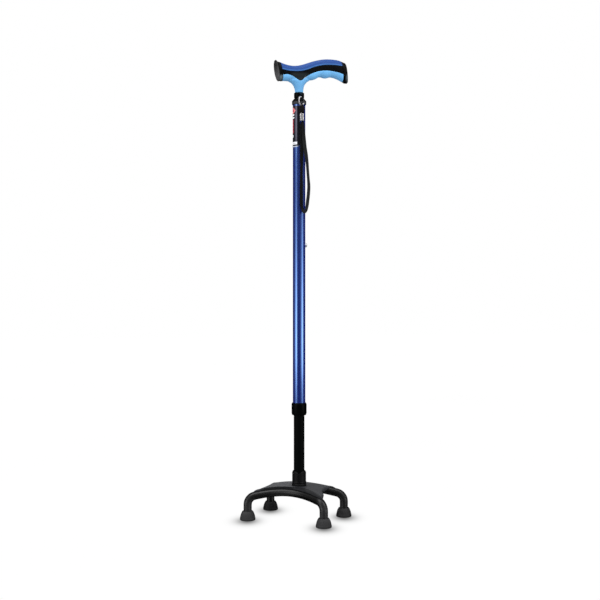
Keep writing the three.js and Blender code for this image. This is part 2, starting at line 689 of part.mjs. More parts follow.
const neckRing = ([z, x0, x1, halfWidth]) => around(HANDLE_SIDES, (angle) => vector(
  (x0 + x1) / 2 + (x1 - x0) / 2 * Math.cos(angle),
  halfWidth * Math.sin(angle),
  z,
));

// whole handle, before it is divided into pieces
function handleBody() {
  const sections = [...NOSE_SECTIONS, ...BEAM_X.map(beamSection), ...TAIL_SECTIONS];
  return join(solid(loft(sections.map(beamRing))), loft(NECK_SECTIONS.map(neckRing)));
}

const zone = (points) => solid(slabXZ(points, -30, 30));

// everything between two leaning joints
function zoneBetween(x0, x1) {
  const lean = (x, z) => [x + (CAP_MID_Z - z) * CAP_SLANT, z];
  return zone([lean(x0, 700), lean(x1, 700), lean(x1, 900), lean(x0, 900)]);
}

// edge of the band moved up by rise and run out past both ends of the handle
function bandLine(table, rise) {
  return [[-80, table[0][1]], ...table, [120, table[table.length - 1][1]]]
    .map(([x, z]) => [x, z + rise]);
}

function addHandle() {
  const body = handleBody();
  const half = GAP / 2;
  const middle = zoneBetween(CAP_FRONT_X + half, CAP_REAR_X - half);
  const padZone = zone([...bandLine(BAND_TOP, half), [120, 900], [-80, 900]]);
  const coreZone = zone([...bandLine(BAND_LOW, half), ...bandLine(BAND_TOP, -half).reverse()]);
  const gripZone = zone([[-80, 700], [120, 700], ...bandLine(BAND_LOW, -half).reverse()]);
  const within = (area) => body.intersect(area.intersect(middle));
  const front = body.intersect(zoneBetween(-90, CAP_FRONT_X - half));
  const rear = body.intersect(zoneBetween(CAP_REAR_X + half, 140));

  const boltHole = rod(HANDLE_BOLT_HOLE_R, 750, 800, 10);
  const headSeat = rod(5.2, HEAD_Z0 - GAP, 800, 12);
  const stemBore = rod(STEM_R + 0.4, 740, STEM_Z1 + 0.4, 14);
  const core = cut(
    within(coreZone), boltHole, headSeat, block(FRONT_POCKET), block(REAR_POCKET),
  );

  add('grip_shell', shell(cut(within(gripZone), boltHole, stemBore)), MAT.grip);
  add('handle_core', shell(core), MAT.core);
  add('palm_pad', shell(within(padZone)), MAT.pad);
  add('front_end_cap', shell(join(front, block(FRONT_TONGUE))), MAT.cap);
  add('rear_end_cap', shell(join(rear, block(REAR_TONGUE))), MAT.cap);
}

const handleBolt = () => spin([
  [0, 758], [HANDLE_BOLT_R, 758], [HANDLE_BOLT_R, HEAD_Z0], [HEAD_R, HEAD_Z0],
  [HEAD_R, HEAD_Z1], [0, HEAD_Z1],
], 10);

addHandle();
add('handle_bolt', handleBolt(), MAT.zinc);

// ================================================================= wrist strap
const RING_CENTRE = vector(EYE.x, EYE.y, EYE.z - RING_R);
const HANG = vector(EYE.x, EYE.y, EYE.z - 2 * RING_R);     // strap's loop on the ring

// ring standing in the plane of PIN and Z
const strapRing = (wire) =>
  place(new THREE.TorusGeometry(RING_R, wire, 8, 24), Z_AXIS, RING_FACE, RING_CENTRE);

// spun piece flattened to an oval and hung under the ring
function hungOval(profile, flatness) {
  const piece = spin(profile, 14);
  piece.scale(1, flatness, 1);
  piece.rotateZ(rad(STRAP_TURN));
  piece.translate(HANG.x, HANG.y, 0);
  return piece;
}

// leather tab: a loop round the ring above a rounded tongue
function strapTab() {
  const alongPin = (radius, length, sides) =>
    place(new THREE.CylinderGeometry(radius, radius, length, sides), Y_AXIS, PIN, HANG);
  const tongue = hungOval([
    [0, 717.6], [4.6, 717.6], [5.1, 718.4], [5.1, 726.4], [3.9, 728.2], [2.4, 729.2],
    [0, 729.4],
  ], 0.7);
  // the second cut widens the hole so that the curved wire passes freely
  return shell(cut(
    join(solid(alongPin(3.1, 5.0, 14)), tongue),
    alongPin(1.5, 30, 10),
    strapRing(RING_WIRE_R + 0.5),
  ));
}

const strapCrimp = () => hungOval([
  [0, 703.6], [3.7, 703.6], [4.1, 704.2], [4.1, 716.6], [3.7, 717.2], [0, 717.2],
], 0.8);

// centre line of the loop, down one strand and up the other; they lie together
// at the crimp: [offset along the strap's broad side, z]
const LOOP_DOWN = [
  [0.2, 701.2], [2.2, 694], [2.7, 682], [4.6, 664], [8.3, 639], [11.3, 622],
  [13.1, 603], [13.5, 591], [12.5, 576], [10.7, 558], [8.4, 548.5], [5.2, 543.8],
];
const LOOP_UP = [
  [2.0, 546.5], [-0.2, 554], [-0.7, 566], [-0.7, 585], [-0.4, 605], [-0.2, 625],
  [-0.6, 645], [-1.6, 662], [-2.9, 680], [-2.6, 693],
];
const LOOP_STEPS = 44;
const CORD_SIDES = 8;
const CORD_HALF_WIDTH = 2.4;     // square to the plane of the loop
const CORD_HALF_THICK = 1.7;     // in the plane of the loop

// closed loop of flat cord; its rings follow the curve's own direction, so
// that it closes on itself
function wristLoop() {
  const turn = rad(STRAP_TURN);
  const points = [...LOOP_DOWN, ...LOOP_UP].map(([offset, z]) =>
    vector(HANG.x + offset * Math.cos(turn), HANG.y + offset * Math.sin(turn), z));
  const curve = new THREE.CatmullRomCurve3(points, true, 'centripetal');
  const side = vector(-Math.sin(turn), Math.cos(turn), 0);
  const rings = Array.from({ length: LOOP_STEPS }, (_, i) => {
    const centre = curve.getPointAt(i / LOOP_STEPS);
    const tangent = curve.getTangentAt(i / LOOP_STEPS);
    const across = vector().crossVectors(side, tangent).normalize();
    return around(CORD_SIDES, (angle) => centre.clone()
      .addScaledVector(across, CORD_HALF_THICK * Math.sin(angle))
      .addScaledVector(side, CORD_HALF_WIDTH * Math.cos(angle)));
  });
  return loft(rings, { loop: true });
}

add('strap_ring', strapRing(RING_WIRE_R), MAT.chrome);
add('strap_tab', strapTab(), MAT.leather);
add('strap_crimp', strapCrimp(), MAT.chrome);
add('wrist_loop', wristLoop(), MAT.strap);

export default part;
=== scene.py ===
import json
import math

import bmesh
import bpy
import numpy as np
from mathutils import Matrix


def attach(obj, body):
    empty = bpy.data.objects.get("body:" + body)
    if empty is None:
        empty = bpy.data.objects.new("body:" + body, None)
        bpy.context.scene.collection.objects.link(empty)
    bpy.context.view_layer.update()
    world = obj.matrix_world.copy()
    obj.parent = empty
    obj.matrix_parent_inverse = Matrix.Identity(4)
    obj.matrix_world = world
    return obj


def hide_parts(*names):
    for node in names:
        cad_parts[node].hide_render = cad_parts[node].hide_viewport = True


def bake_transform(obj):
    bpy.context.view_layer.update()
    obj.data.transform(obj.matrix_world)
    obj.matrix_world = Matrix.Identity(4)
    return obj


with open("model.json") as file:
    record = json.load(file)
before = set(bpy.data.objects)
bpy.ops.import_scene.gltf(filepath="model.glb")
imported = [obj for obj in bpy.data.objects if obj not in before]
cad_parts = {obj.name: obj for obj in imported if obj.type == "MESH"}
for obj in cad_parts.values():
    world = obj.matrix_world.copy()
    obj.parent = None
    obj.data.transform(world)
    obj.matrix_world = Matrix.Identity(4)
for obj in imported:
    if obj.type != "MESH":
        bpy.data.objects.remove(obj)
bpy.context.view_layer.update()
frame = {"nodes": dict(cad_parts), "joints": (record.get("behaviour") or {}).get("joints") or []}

MM = 0.001
# where the shaft's axis stands in the row frame, taken from its joint when there is one
AXIS_X, AXIS_Y = 4.364, -3.8204
for joint in frame["joints"]:
    if joint["name"] == "shaft_turn":
        AXIS_X, AXIS_Y = joint["pos_m"][0] * 1000.0, joint["pos_m"][1] * 1000.0
AXIS = np.array([AXIS_X, AXIS_Y, 0.0])
UP = np.array([0.0, 0.0, 1.0])
CAMERA_TURN = -17.5                   # degrees about Z
VIEW_X, VIEW_Y = 0.3007, 0.9537       # the camera's level line of sight

# driving sizes
SHARP_ANGLE = 38.0                    # degrees
SHAFT_R, LOWER_BORE = 9.525, 8.3      # lower tube
UPPER_R, UPPER_BORE = 11.1, 9.875     # upper tube
STEM_R = 4.5                          # handle stem
LEG_R, LEG_BORE = 7.25, 5.8
CLEARANCE = 0.3
HANDLE_VOXEL = 0.45
PIECE_VOXEL = 0.42


# ============================================================ objects
def shade(mesh, sharp):
    mesh.shade_smooth()
    if sharp is not None:
        mesh.set_sharp_from_angle(angle=math.radians(sharp))
    mesh.update()


def link_object(name, mesh):
    ob = bpy.data.objects.new(name, mesh)
    bpy.context.scene.collection.objects.link(ob)
    return ob


def mesh_object(name, verts, faces, sharp=SHARP_ANGLE, uv=None):
    """an object from millimetre points; uv holds one pair per vertex"""
    points = (np.asarray(verts, float) + AXIS) * MM
    mesh = bpy.data.meshes.new(name)
    mesh.from_pydata(points.tolist(), [], faces)
    if uv is not None:
        layer = mesh.uv_layers.new(name="UVMap")
        for loop in mesh.loops:
            layer.data[loop.index].uv = uv[loop.vertex_index]
    bm = bmesh.new()
    bm.from_mesh(mesh)
    loose = [vert for vert in bm.verts if not vert.link_faces]
    bmesh.ops.delete(bm, geom=loose, context="VERTS")
    bmesh.ops.recalc_face_normals(bm, faces=bm.faces)
    bm.to_mesh(mesh)
    bm.free()
    shade(mesh, sharp)
    return link_object(name, mesh)


def set_material(ob, material):
    ob.data.materials.clear()
    ob.data.materials.append(material)


def put(ob, body, material, node):
    set_material(ob, material)
    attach(ob, body)
    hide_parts(node)


def attribute(ob, name, values):
    layer = ob.data.attributes.new(name, "FLOAT", "POINT")
    layer.data.foreach_set("value", np.asarray(values, np.float32))


def drop(ob):
    mesh = ob.data
    bpy.data.objects.remove(ob)
    bpy.data.meshes.remove(mesh)


def bake(ob, sharp):
    """replaces the object's mesh by the result of its modifiers"""
    bpy.context.view_layer.update()
    graph = bpy.context.evaluated_depsgraph_get()
    mesh = bpy.data.meshes.new_from_object(ob.evaluated_get(graph))
    old = ob.data
    ob.modifiers.clear()
    ob.data = mesh
    mesh.name = ob.name
    bpy.data.meshes.remove(old)
    shade(mesh, sharp)


def boolean(ob, other, how):
    """cuts ob by other, which is removed"""
    cut = ob.modifiers.new("cut", "BOOLEAN")
    cut.operation = how
    cut.object = other
    cut.solver = "MANIFOLD"
    bake(ob, SHARP_ANGLE)
    if len(ob.data.polygons) == 0:
        raise RuntimeError("boolean left nothing of " + ob.name)
    drop(other)


def remesh(ob, voxel, smooth, factor=0.5):
    skin = ob.modifiers.new("skin", "REMESH")
    skin.mode = "VOXEL"
    skin.voxel_size = voxel * MM
    skin.adaptivity = 0.0
    ease = ob.modifiers.new("ease", "SMOOTH")
    ease.factor = factor
    ease.iterations = smooth
    bake(ob, None)


def merged(name, obs):
    """one object holding the meshes of several, which are removed"""
    bm = bmesh.new()
    for ob in obs:
        bm.from_mesh(ob.data)
    mesh = bpy.data.meshes.new(name)
    bm.to_mesh(mesh)
    bm.free()
    for ob in obs:
        drop(ob)
    return link_object(name, mesh)


# ============================================================ numbers and shapes
def rise(x, start, width):
    """0 up to start, then a straight climb to 1 over width"""
    return np.clip((x - start) / width, 0.0, 1.0)


def fall(x, end, width):
    """0 from end on, and a straight drop from 1 over the width before it"""
    return np.clip((end - x) / width, 0.0, 1.0)


def signed_power(value, power):
    return math.copysign(abs(value) ** power, value)


def superellipse(a, b, power, n):
    """n points; a power of 1 gives an ellipse, less a squarer shape"""
    turns = [2 * math.pi * i / n for i in range(n)]
    return [(a * signed_power(math.cos(t), power), b * signed_power(math.sin(t), power))
            for t in turns]


def ellipse(a, b, n):
    turns = [2 * math.pi * i / n for i in range(n)]
    return [(a * math.cos(t), b * math.sin(t)) for t in turns]


def turned(points, angle):
    """points turned about Z"""
    p = np.asarray(points, float)
    q = p.copy()
    q[:, 0] = p[:, 0] * math.cos(angle) - p[:, 1] * math.sin(angle)
    q[:, 1] = p[:, 0] * math.sin(angle) + p[:, 1] * math.cos(angle)
    return q


def pchip(table, xs):
    """smooth curve through a table that doesn't overshoot it"""
    x = np.array([row[0] for row in table], float)
    y = np.array([row[1] for row in table], float)
    step = np.diff(x)
    chord = np.diff(y) / step
    slope = np.zeros(len(x))
    slope[0], slope[-1] = chord[0], chord[-1]
    for i in range(1, len(x) - 1):
        if chord[i - 1] * chord[i] > 0:
            w1, w2 = 2 * step[i] + step[i - 1], step[i] + 2 * step[i - 1]
            slope[i] = (w1 + w2) / (w1 / chord[i - 1] + w2 / chord[i])
    q = np.clip(np.asarray(xs, float), x[0], x[-1])
    k = np.clip(np.searchsorted(x, q, side="right") - 1, 0, len(x) - 2)
    t = (q - x[k]) / step[k]
    return ((1 + 2 * t) * (1 - t) ** 2 * y[k] + t * (1 - t) ** 2 * step[k] * slope[k]
            + t * t * (3 - 2 * t) * y[k + 1] + t * t * (t - 1) * step[k] * slope[k + 1])


def smooth_path(points, count, closed=False, dense=40):
    """centripetal Catmull-Rom curve through the points, resampled to even steps"""
    P = [np.array(p, float) for p in points]
    n = len(P)
    curve = []
    for i in range(n if closed else n - 1):
        p1, p2 = P[i], P[(i + 1) % n]
        p0 = P[(i - 1) % n] if closed or i > 0 else 2 * P[0] - P[1]
        p3 = P[(i + 2) % n] if closed or i + 2 < n else 2 * P[-1] - P[-2]
        t0 = max(np.linalg.norm(p1 - p0), 1e-4) ** 0.5
        t1 = max(np.linalg.norm(p2 - p1), 1e-4) ** 0.5
        t2 = max(np.linalg.norm(p3 - p2), 1e-4) ** 0.5
        m1 = ((p1 - p0) / t0 - (p2 - p0) / (t0 + t1) + (p2 - p1) / t1) * t1
        m2 = ((p2 - p1) / t1 - (p3 - p1) / (t1 + t2) + (p3 - p2) / t2) * t1
        for k in range(dense):
            s = k / dense
            curve.append(p1 * (2 * s ** 3 - 3 * s ** 2 + 1) + m1 * (s ** 3 - 2 * s ** 2 + s)
                         + p2 * (-2 * s ** 3 + 3 * s ** 2) + m2 * (s ** 3 - s ** 2))
    curve.append(P[0] if closed else P[-1])
    curve = np.array(curve)
    steps = np.linalg.norm(np.diff(curve, axis=0), axis=1)
    length = np.concatenate([[0], np.cumsum(steps)])
    want = np.linspace(0, length[-1], count + 1)
    even = np.stack([np.interp(want, length, curve[:, c]) for c in range(3)], axis=1)
    return even[:-1] if closed else even


def fillet(profile, radius, seg=4):
    """rounds the corners of a polyline of [r, z] or [r, z, own radius] points"""
    pts = [np.array(p[:2], float) for p in profile]
    out = [pts[0]]
    for i in range(1, len(pts) - 1):
        rad = profile[i][2] if len(profile[i]) > 2 else radius
        a, b, c = pts[i - 1], pts[i], pts[i + 1]
        d1, d2 = a - b, c - b
        l1, l2 = np.linalg.norm(d1), np.linalg.norm(d2)
        if rad <= 0 or l1 < 1e-9 or l2 < 1e-9:
            out.append(b)
            continue
        d1, d2 = d1 / l1, d2 / l2
        corner = math.acos(max(-1.0, min(1.0, float(d1 @ d2))))
        if corner > math.pi - 0.05:
            out.append(b)
            continue
        t = min(rad / math.tan(corner / 2), l1 * 0.48, l2 * 0.48)
        p0, p1 = b + d1 * t, b + d2 * t
        for k in range(seg + 1):
            s = k / seg
            out.append(p0 * (1 - s) ** 2 + b * 2 * s * (1 - s) + p1 * s * s)
    out.append(pts[-1])
    return [(float(p[0]), float(p[1])) for p in out]


def lathe_mesh(profile, n):
    """[r, z] points spun about Z; points on the axis become single vertices"""
    closed = np.allclose(profile[0], profile[-1], rtol=0, atol=1e-9)
    verts, rows = [], []
    for r, z in profile[:-1] if closed else profile:
        if r < 1e-6:
            rows.append([len(verts)])
            verts.append((0.0, 0.0, z))
        else:
            rows.append(list(range(len(verts), len(verts) + n)))
            verts += [(x, y, z) for x, y in ellipse(r, r, n)]
    faces = []
    m = len(rows)
    for k in range(m if closed else m - 1):
        a, b = rows[k], rows[(k + 1) % m]
        for i in range(n):
            i2 = (i + 1) % n
            if len(a) == 1:
                faces.append((a[0], b[i2], b[i]))
            elif len(b) == 1:
                faces.append((a[i], a[i2], b[0]))
            else:
                faces.append((a[i], a[i2], b[i2], b[i]))
    return verts, faces


def lathe(name, profile, n, at=(0, 0, 0)):
    verts, faces = lathe_mesh(profile, n)
    return mesh_object(name, np.array(verts) + np.array(at, float), faces)


def tube_faces(m, n, closed=False, caps=True):
    """faces joining m rings of n points"""
    faces = []
    for i in range(m if closed else m - 1):
        i2 = (i + 1) % m
        for k in range(n):
            k2 = (k + 1) % n
            faces.append((i * n + k, i * n + k2, i2 * n + k2, i2 * n + k))
    if caps and not closed:
        faces.append(tuple(range(n)))
        faces.append(tuple((m - 1) * n + k for k in range(n)))
    return faces


def loft(name, rings, sharp=SHARP_ANGLE):
    verts = [p for ring in rings for p in ring]
    return mesh_object(name, verts, tube_faces(len(rings), len(rings[0])), sharp)


def prism(name, near, far):
    """solid between two matching outlines"""
    n = len(near)
    faces = [tuple(range(n)), tuple(range(2 * n - 1, n - 1, -1))]
    faces += [(i, (i + 1) % n, n + (i + 1) % n, n + i) for i in range(n)]
    return mesh_object(name, list(near) + list(far), faces)


def sweep(path, ref, sections, closed=False, caps=True):
    """section points (a, b) along a path, b running along ref and a across it;
    sections is one section or one per step"""
    if isinstance(sections[0][0], (int, float)):
        sections = [sections] * len(path)
    if closed:
        T = np.roll(path, -1, axis=0) - np.roll(path, 1, axis=0)
    else:
        T = np.gradient(path, axis=0)
    T = T / np.linalg.norm(T, axis=1)[:, None]
    ref = np.asarray(ref, float)
    B = ref - (T @ ref)[:, None] * T
    B /= np.linalg.norm(B, axis=1)[:, None]
    A = np.cross(B, T)
    verts = [p + A[i] * a + B[i] * b for i, p in enumerate(path) for a, b in sections[i]]
    return verts, tube_faces(len(path), len(sections[0]), closed, caps)


def hollow_sweep(path, ref, r_out, r_in, n):
    outer, faces = sweep(path, ref, ellipse(r_out, r_out, n), caps=False)
    inner, inner_faces = sweep(path, ref, ellipse(r_in, r_in, n), caps=False)
    k = len(outer)
    faces = faces + [tuple(x + k for x in f) for f in inner_faces]
    for i in (0, len(path) - 1):
        for j in range(n):
            j2 = (j + 1) % n
            faces.append((i * n + j, i * n + j2, k + i * n + j2, k + i * n + j))
    return outer + inner, faces


def torus(R, r, centre, axis, n, m):
    axis = axis / np.linalg.norm(axis)
    e1 = np.cross(axis, UP)
    e1 /= np.linalg.norm(e1)
    e2 = np.cross(axis, e1)
    path = np.array([centre + R * (c * e1 + s * e2) for c, s in ellipse(1.0, 1.0, n)])
    return sweep(path, axis, ellipse(r, r, m), closed=True)


# ============================================================ node graphs
MID = (0.3, 0.7)        # the span most of a noise's values lie in
DOWN = (1.0, 0.0)       # a ramp that falls
BLACK = (0, 0, 0)


class Graph:
    """shorthand for a node tree; values are numbers, colours or sockets"""

    def __init__(self, owner, output, space):
        owner.use_nodes = True
        self.owner, self.tree = owner, owner.node_tree
        self.tree.nodes.clear()
        self.output = self.node(output)
        self.point = self.node("ShaderNodeTexCoord").outputs[space]

    def node(self, kind, **settings):
        node = self.tree.nodes.new(kind)
        for key, value in settings.items():
            setattr(node, key, value)
        return node

    def feed(self, socket, value):
        if isinstance(value, (int, float)):
            socket.default_value = value
        elif isinstance(value, tuple):
            socket.default_value = (*value, 1.0)
        else:
            self.tree.links.new(value, socket)

    def texture(self, kind, vector, **inputs):
        node = self.node(kind)
        for key, value in inputs.items():
            self.feed(node.inputs[key], value)
        self.feed(node.inputs["Vector"], vector)
        return node

    def noise(self, scale, detail=3.0, rough=0.5, stretch=None):
        point = self.point
        if stretch:
            mapping = self.node("ShaderNodeMapping")
            mapping.inputs["Scale"].default_value = stretch
            self.feed(mapping.inputs["Vector"], point)
            point = mapping.outputs[0]
        node = self.texture("ShaderNodeTexNoise", point, Scale=scale, Detail=detail,
                            Roughness=rough)
        return node.outputs["Fac"]

    def voronoi(self, scale, feature="F1"):
        node = self.node("ShaderNodeTexVoronoi", feature=feature)
        self.feed(node.inputs["Scale"], scale)
        self.feed(node.inputs["Vector"], self.point)
        return node.outputs["Distance"]

    def math(self, operation, *values):
        node = self.node("ShaderNodeMath", operation=operation)
        for socket, value in zip(node.inputs, values):
            self.feed(socket, value)
        return node.outputs[0]

    def mul(self, a, b):
        return self.math("MULTIPLY", a, b)

    def add(self, a, b):
        return self.math("ADD", a, b)

    def sub(self, a, b):
        return self.math("SUBTRACT", a, b)

    def size(self, value):
        return self.math("ABSOLUTE", value)

    def ramp(self, value, span, to=(0.0, 1.0)):
        """maps span onto to, held at both ends"""
        node = self.node("ShaderNodeMapRange", clamp=True)
        for key, number in zip(("From Min", "From Max", "To Min", "To Max"), (*span, *to)):
            node.inputs[key].default_value = number
        self.feed(node.inputs["Value"], value)
        return node.outputs["Result"]

    def mix(self, share, a, b):
        """colour a, with a share of b"""
        node = self.node("ShaderNodeMix", data_type="RGBA")
        for index, value in ((0, share), (6, a), (7, b)):
            self.feed(node.inputs[index], value)
        return node.outputs[2]

    def bump(self, height, strength, depth, below=None):
        """depth in millimetres; below is the relief it lies on"""
        node = self.node("ShaderNodeBump")
        node.inputs["Strength"].default_value = strength
        node.inputs["Distance"].default_value = depth * MM
        self.feed(node.inputs["Height"], height)
        if below is not None:
            self.feed(node.inputs["Normal"], below)
        return node.outputs[0]

    def split(self, vector):
        node = self.node("ShaderNodeSeparateXYZ")
        self.feed(node.inputs[0], vector)
        return node.outputs

    def attribute(self, name):
        return self.node("ShaderNodeAttribute", attribute_name=name).outputs["Fac"]

    def geometry(self, output):
        return self.node("ShaderNodeNewGeometry").outputs[output]

    def principled(self, **values):
        """closes a material's graph and returns the material"""
        node = self.node("ShaderNodeBsdfPrincipled")
        for key, value in values.items():
            self.feed(node.inputs[key.replace("_", " ")], value)
        self.feed(self.output.inputs[0], node.outputs[0])
        return self.owner


def material_graph(name):
    return Graph(bpy.data.materials.new(name), "ShaderNodeOutputMaterial", "Object")


def srgb(*channels):
    """linear colour from three 0..255 display values"""
    return tuple(c / 255 / 12.92 if c <= 10.31 else ((c / 255 + 0.055) / 1.055) ** 2.4
                 for c in channels)


def scaled(colour, factor):
    return tuple(min(1.0, c * factor) for c in colour)


# ============================================================ materials
# Heights and distances inside the graphs are in metres, bump depths in millimetres.
def finish(name, col, rough, *, metal=0.0, mottle=0.12, cloud=60, grain=900, depth=0.02,
           relief=0.25, spread=0.08, spec=0.5, pebbles=None, dust=0.0, crevice_shade=0.0,
           wear=0.0, worn=None, far=False, high=None, low=None, dark=None, light=None):
    """moulded, painted or plated finish

    mottle: change of tone; cloud, grain: texture scales; depth, relief: the grain's bump;
    spread: change of roughness; pebbles: scale, strength and depth of a coarser bump;
    dust: share of it on top; crevice_shade: reach of the painted shade in hollows; wear: share
    of the colour worn on edges; far: a painted shade, dimming what stands away from the camera;
    high: two heights and the share of light left above them, a painted shade; low: two heights
    and a factor for the tone below them, a painted light; dark: an attribute and its share of
    near black, a painted shade; light: an attribute, colour and share
    """
    g = material_graph(name)
    clouds = g.noise(cloud, 4.0, 0.6)
    fine = g.noise(grain, 2.0, 0.55)
    colour = g.mix(g.ramp(clouds, MID), scaled(col, 1 - mottle), scaled(col, 1 + mottle))
    colour = g.mix(g.ramp(fine, (0.35, 0.65), (0.0, 0.35)), colour,
                   scaled(col, 1 - mottle * 1.2))
    if dust:
        facing_up = g.ramp(g.split(g.geometry("Normal"))[2], (0.3, 1.0))
        layer = g.mul(facing_up, g.ramp(clouds, (0.35, 0.75), (0.3, 1.0)))
        colour = g.mix(g.mul(layer, dust), colour, srgb(150, 150, 152))
    # painted shade: ambient occlusion darkens hollows and seams towards near black
    if crevice_shade:
        hollow = g.node("ShaderNodeAmbientOcclusion", samples=8)
        hollow.inputs["Distance"].default_value = crevice_shade * MM
        colour = g.mix(g.ramp(hollow.outputs["AO"], (0.25, 0.80), (0.92, 0.0)), colour,
                       scaled(col, 0.06))
    if wear:
        edge = g.ramp(g.geometry("Pointiness"), (0.52, 0.62))
        edge = g.mul(edge, g.ramp(g.noise(cloud * 6, 3.0, 0.6), (0.35, 0.65)))
        colour = g.mix(g.mul(edge, wear), colour, worn)
    if far or high or low:
        x, y, z = g.split(g.point)
    # painted shade: dimmer away from the camera
    if far:
        nearness = g.add(g.mul(g.sub(x, AXIS_X * MM), -VIEW_X),
                         g.mul(g.sub(y, AXIS_Y * MM), -VIEW_Y))
        lit = g.add(g.ramp(nearness, (-0.080, -0.010), (0.26, 0.56)),
                    g.ramp(nearness, (-0.010, 0.012), (0.0, 0.44)))
        colour = g.mix(lit, BLACK, colour)
    # painted shade above the given heights
    if high:
        colour = g.mix(g.ramp(z, high[:2], (0.0, 1.0 - high[2])), colour, BLACK)
    # painted light below the given heights
    if low:
        colour = g.mix(g.ramp(z, low[:2], DOWN), colour, scaled(col, low[2]))
    if light:
        colour = g.mix(g.mul(g.attribute(light[0]), light[2]), colour, light[1])
    # painted shade: an attribute's share of near black, with less shine
    if dark:
        shadow = g.attribute(dark[0])
        colour = g.mix(g.mul(shadow, dark[1]), colour, scaled(col, 0.03))
        spec = g.mul(g.sub(1.0, g.mul(shadow, dark[1])), spec)
    roughness = g.add(g.ramp(clouds, (0.25, 0.75), (rough - spread, rough + spread)),
                      g.ramp(fine, MID, (-spread * 0.5, spread * 0.5)))
    normal = g.bump(fine, relief, depth)
    if pebbles:
        normal = g.bump(g.voronoi(pebbles[0]), pebbles[1], pebbles[2], normal)
    return g.principled(Base_Color=colour, Roughness=roughness, Metallic=metal, IOR=1.45,
                        Specular_IOR_Level=spec, Normal=normal)


def anodised(name, body, tint, rough, ior, lines=0.3):
    """tube metal with tinted reflections and faint drawing lines along Z"""
    g = material_graph(name)
    clouds = g.noise(35, 3.0, 0.5)
    drawn = g.noise(500, 2.0, 0.6, stretch=(1.0, 1.0, 0.004))
    fine = g.noise(2600, 1.0, 0.5)
    colour = g.mix(g.ramp(clouds, MID), scaled(body, 0.93), scaled(body, 1.07))
    colour = g.mix(g.ramp(drawn, (0.4, 0.6), (0.0, 0.2)), colour, scaled(body, 0.8))
    roughness = g.add(g.ramp(drawn, MID, (rough - 0.015, rough + 0.02)),
                      g.ramp(clouds, MID, (-0.008, 0.008)))
    normal = g.bump(drawn, strength=lines, depth=0.004)
    normal = g.bump(fine, strength=0.05, depth=0.004, below=normal)
    return g.principled(Base_Color=colour, Roughness=roughness, IOR=ior,
                        Specular_Tint=tint, Normal=normal)


def nut_plastic():
    """satin rim below, its grey a painted sheen on the black plastic, and a glossier, darker
    cone above it
    """
    g = material_graph("nut_plastic")
    cone = g.ramp(g.split(g.point)[2], (0.7384, 0.7392))
    clouds = g.noise(160, 4.0, 0.6)
    fine = g.noise(1500, 2.0, 0.5)
    # painted sheen: the rim's grey stands in for light on black plastic
    colour = g.mix(g.ramp(clouds, MID), srgb(40, 41, 43), srgb(53, 54, 56))
    colour = g.mix(cone, colour, srgb(9, 9, 9))
    return g.principled(Base_Color=colour, Roughness=g.ramp(clouds, MID, (0.28, 0.38)),
                        Normal=g.bump(fine, strength=0.2, depth=0.01),
                        Specular_IOR_Level=g.ramp(cone, (0.0, 1.0), (0.30, 0.06)))


def soft_grip(name, col, hollow, rough, neck=None, rim=None):
    """pebbled soft rubber with painted shade, a deeper tone, in its hollows and a painted
    highlight on its ridges

    neck: two heights and the share of light left below them, a painted shade on the neck;
    rim: colour and share of the "rim" attribute, a painted highlight
    """
    g = material_graph(name)
    clouds = g.noise(28, 4.0, 0.55)
    fine = g.noise(1700, 2.0, 0.5)
    pebbles = g.voronoi(1500)
    colour = g.mix(g.ramp(clouds, MID), scaled(col, 0.95), scaled(col, 1.05))
    # painted shade: darker in the pebbles' pits and in concave places
    colour = g.mix(g.ramp(pebbles, (0.0, 0.55), (0.10, 0.0)), colour, hollow)
    point = g.geometry("Pointiness")
    colour = g.mix(g.ramp(point, (0.40, 0.50), (0.5, 0.0)), colour, hollow)
    # painted highlight: lighter on convex edges
    colour = g.mix(g.mul(g.ramp(point, (0.53, 0.66)), 0.3), colour,
                   tuple(min(1.0, c * 1.25 + 0.03) for c in col))
    # painted shade on the neck, below the given heights
    if neck:
        height = g.split(g.point)[2]
        colour = g.mix(g.ramp(height, neck[:2], (1.0 - neck[2], 0.0)), colour, BLACK)
    # painted highlight along the "rim" attribute
    if rim:
        colour = g.mix(g.mul(g.attribute("rim"), rim[1]), colour, rim[0])
    roughness = g.add(g.ramp(clouds, MID, (rough - 0.05, rough + 0.05)),
                      g.ramp(pebbles, (0.0, 0.6), (0.05, -0.03)))
    normal = g.bump(pebbles, strength=0.25, depth=0.04)
    normal = g.bump(fine, strength=0.25, depth=0.02, below=normal)
    return g.principled(Base_Color=colour, Roughness=roughness, Normal=normal,
                        Specular_IOR_Level=0.22, Sheen_Weight=0.03, Sheen_Roughness=0.4)


def leather():
    g = material_graph("tab_leather")
    cell = g.voronoi(1400)
    crack = g.voronoi(900, "DISTANCE_TO_EDGE")
    clouds = g.noise(220, 4.0, 0.6)
    colour = g.mix(g.ramp(clouds, MID), srgb(9, 5, 6), srgb(18, 11, 12))
    colour = g.mix(g.ramp(crack, (0.0, 0.12), (0.7, 0.0)), colour, srgb(10, 7, 7))
    normal = g.bump(g.ramp(crack, (0.0, 0.2)), strength=0.5, depth=0.08)
    normal = g.bump(cell, strength=0.2, depth=0.03, below=normal)
    return g.principled(Base_Color=colour, Roughness=g.ramp(clouds, MID, (0.42, 0.6)),
                        Specular_IOR_Level=0.15, Normal=normal)


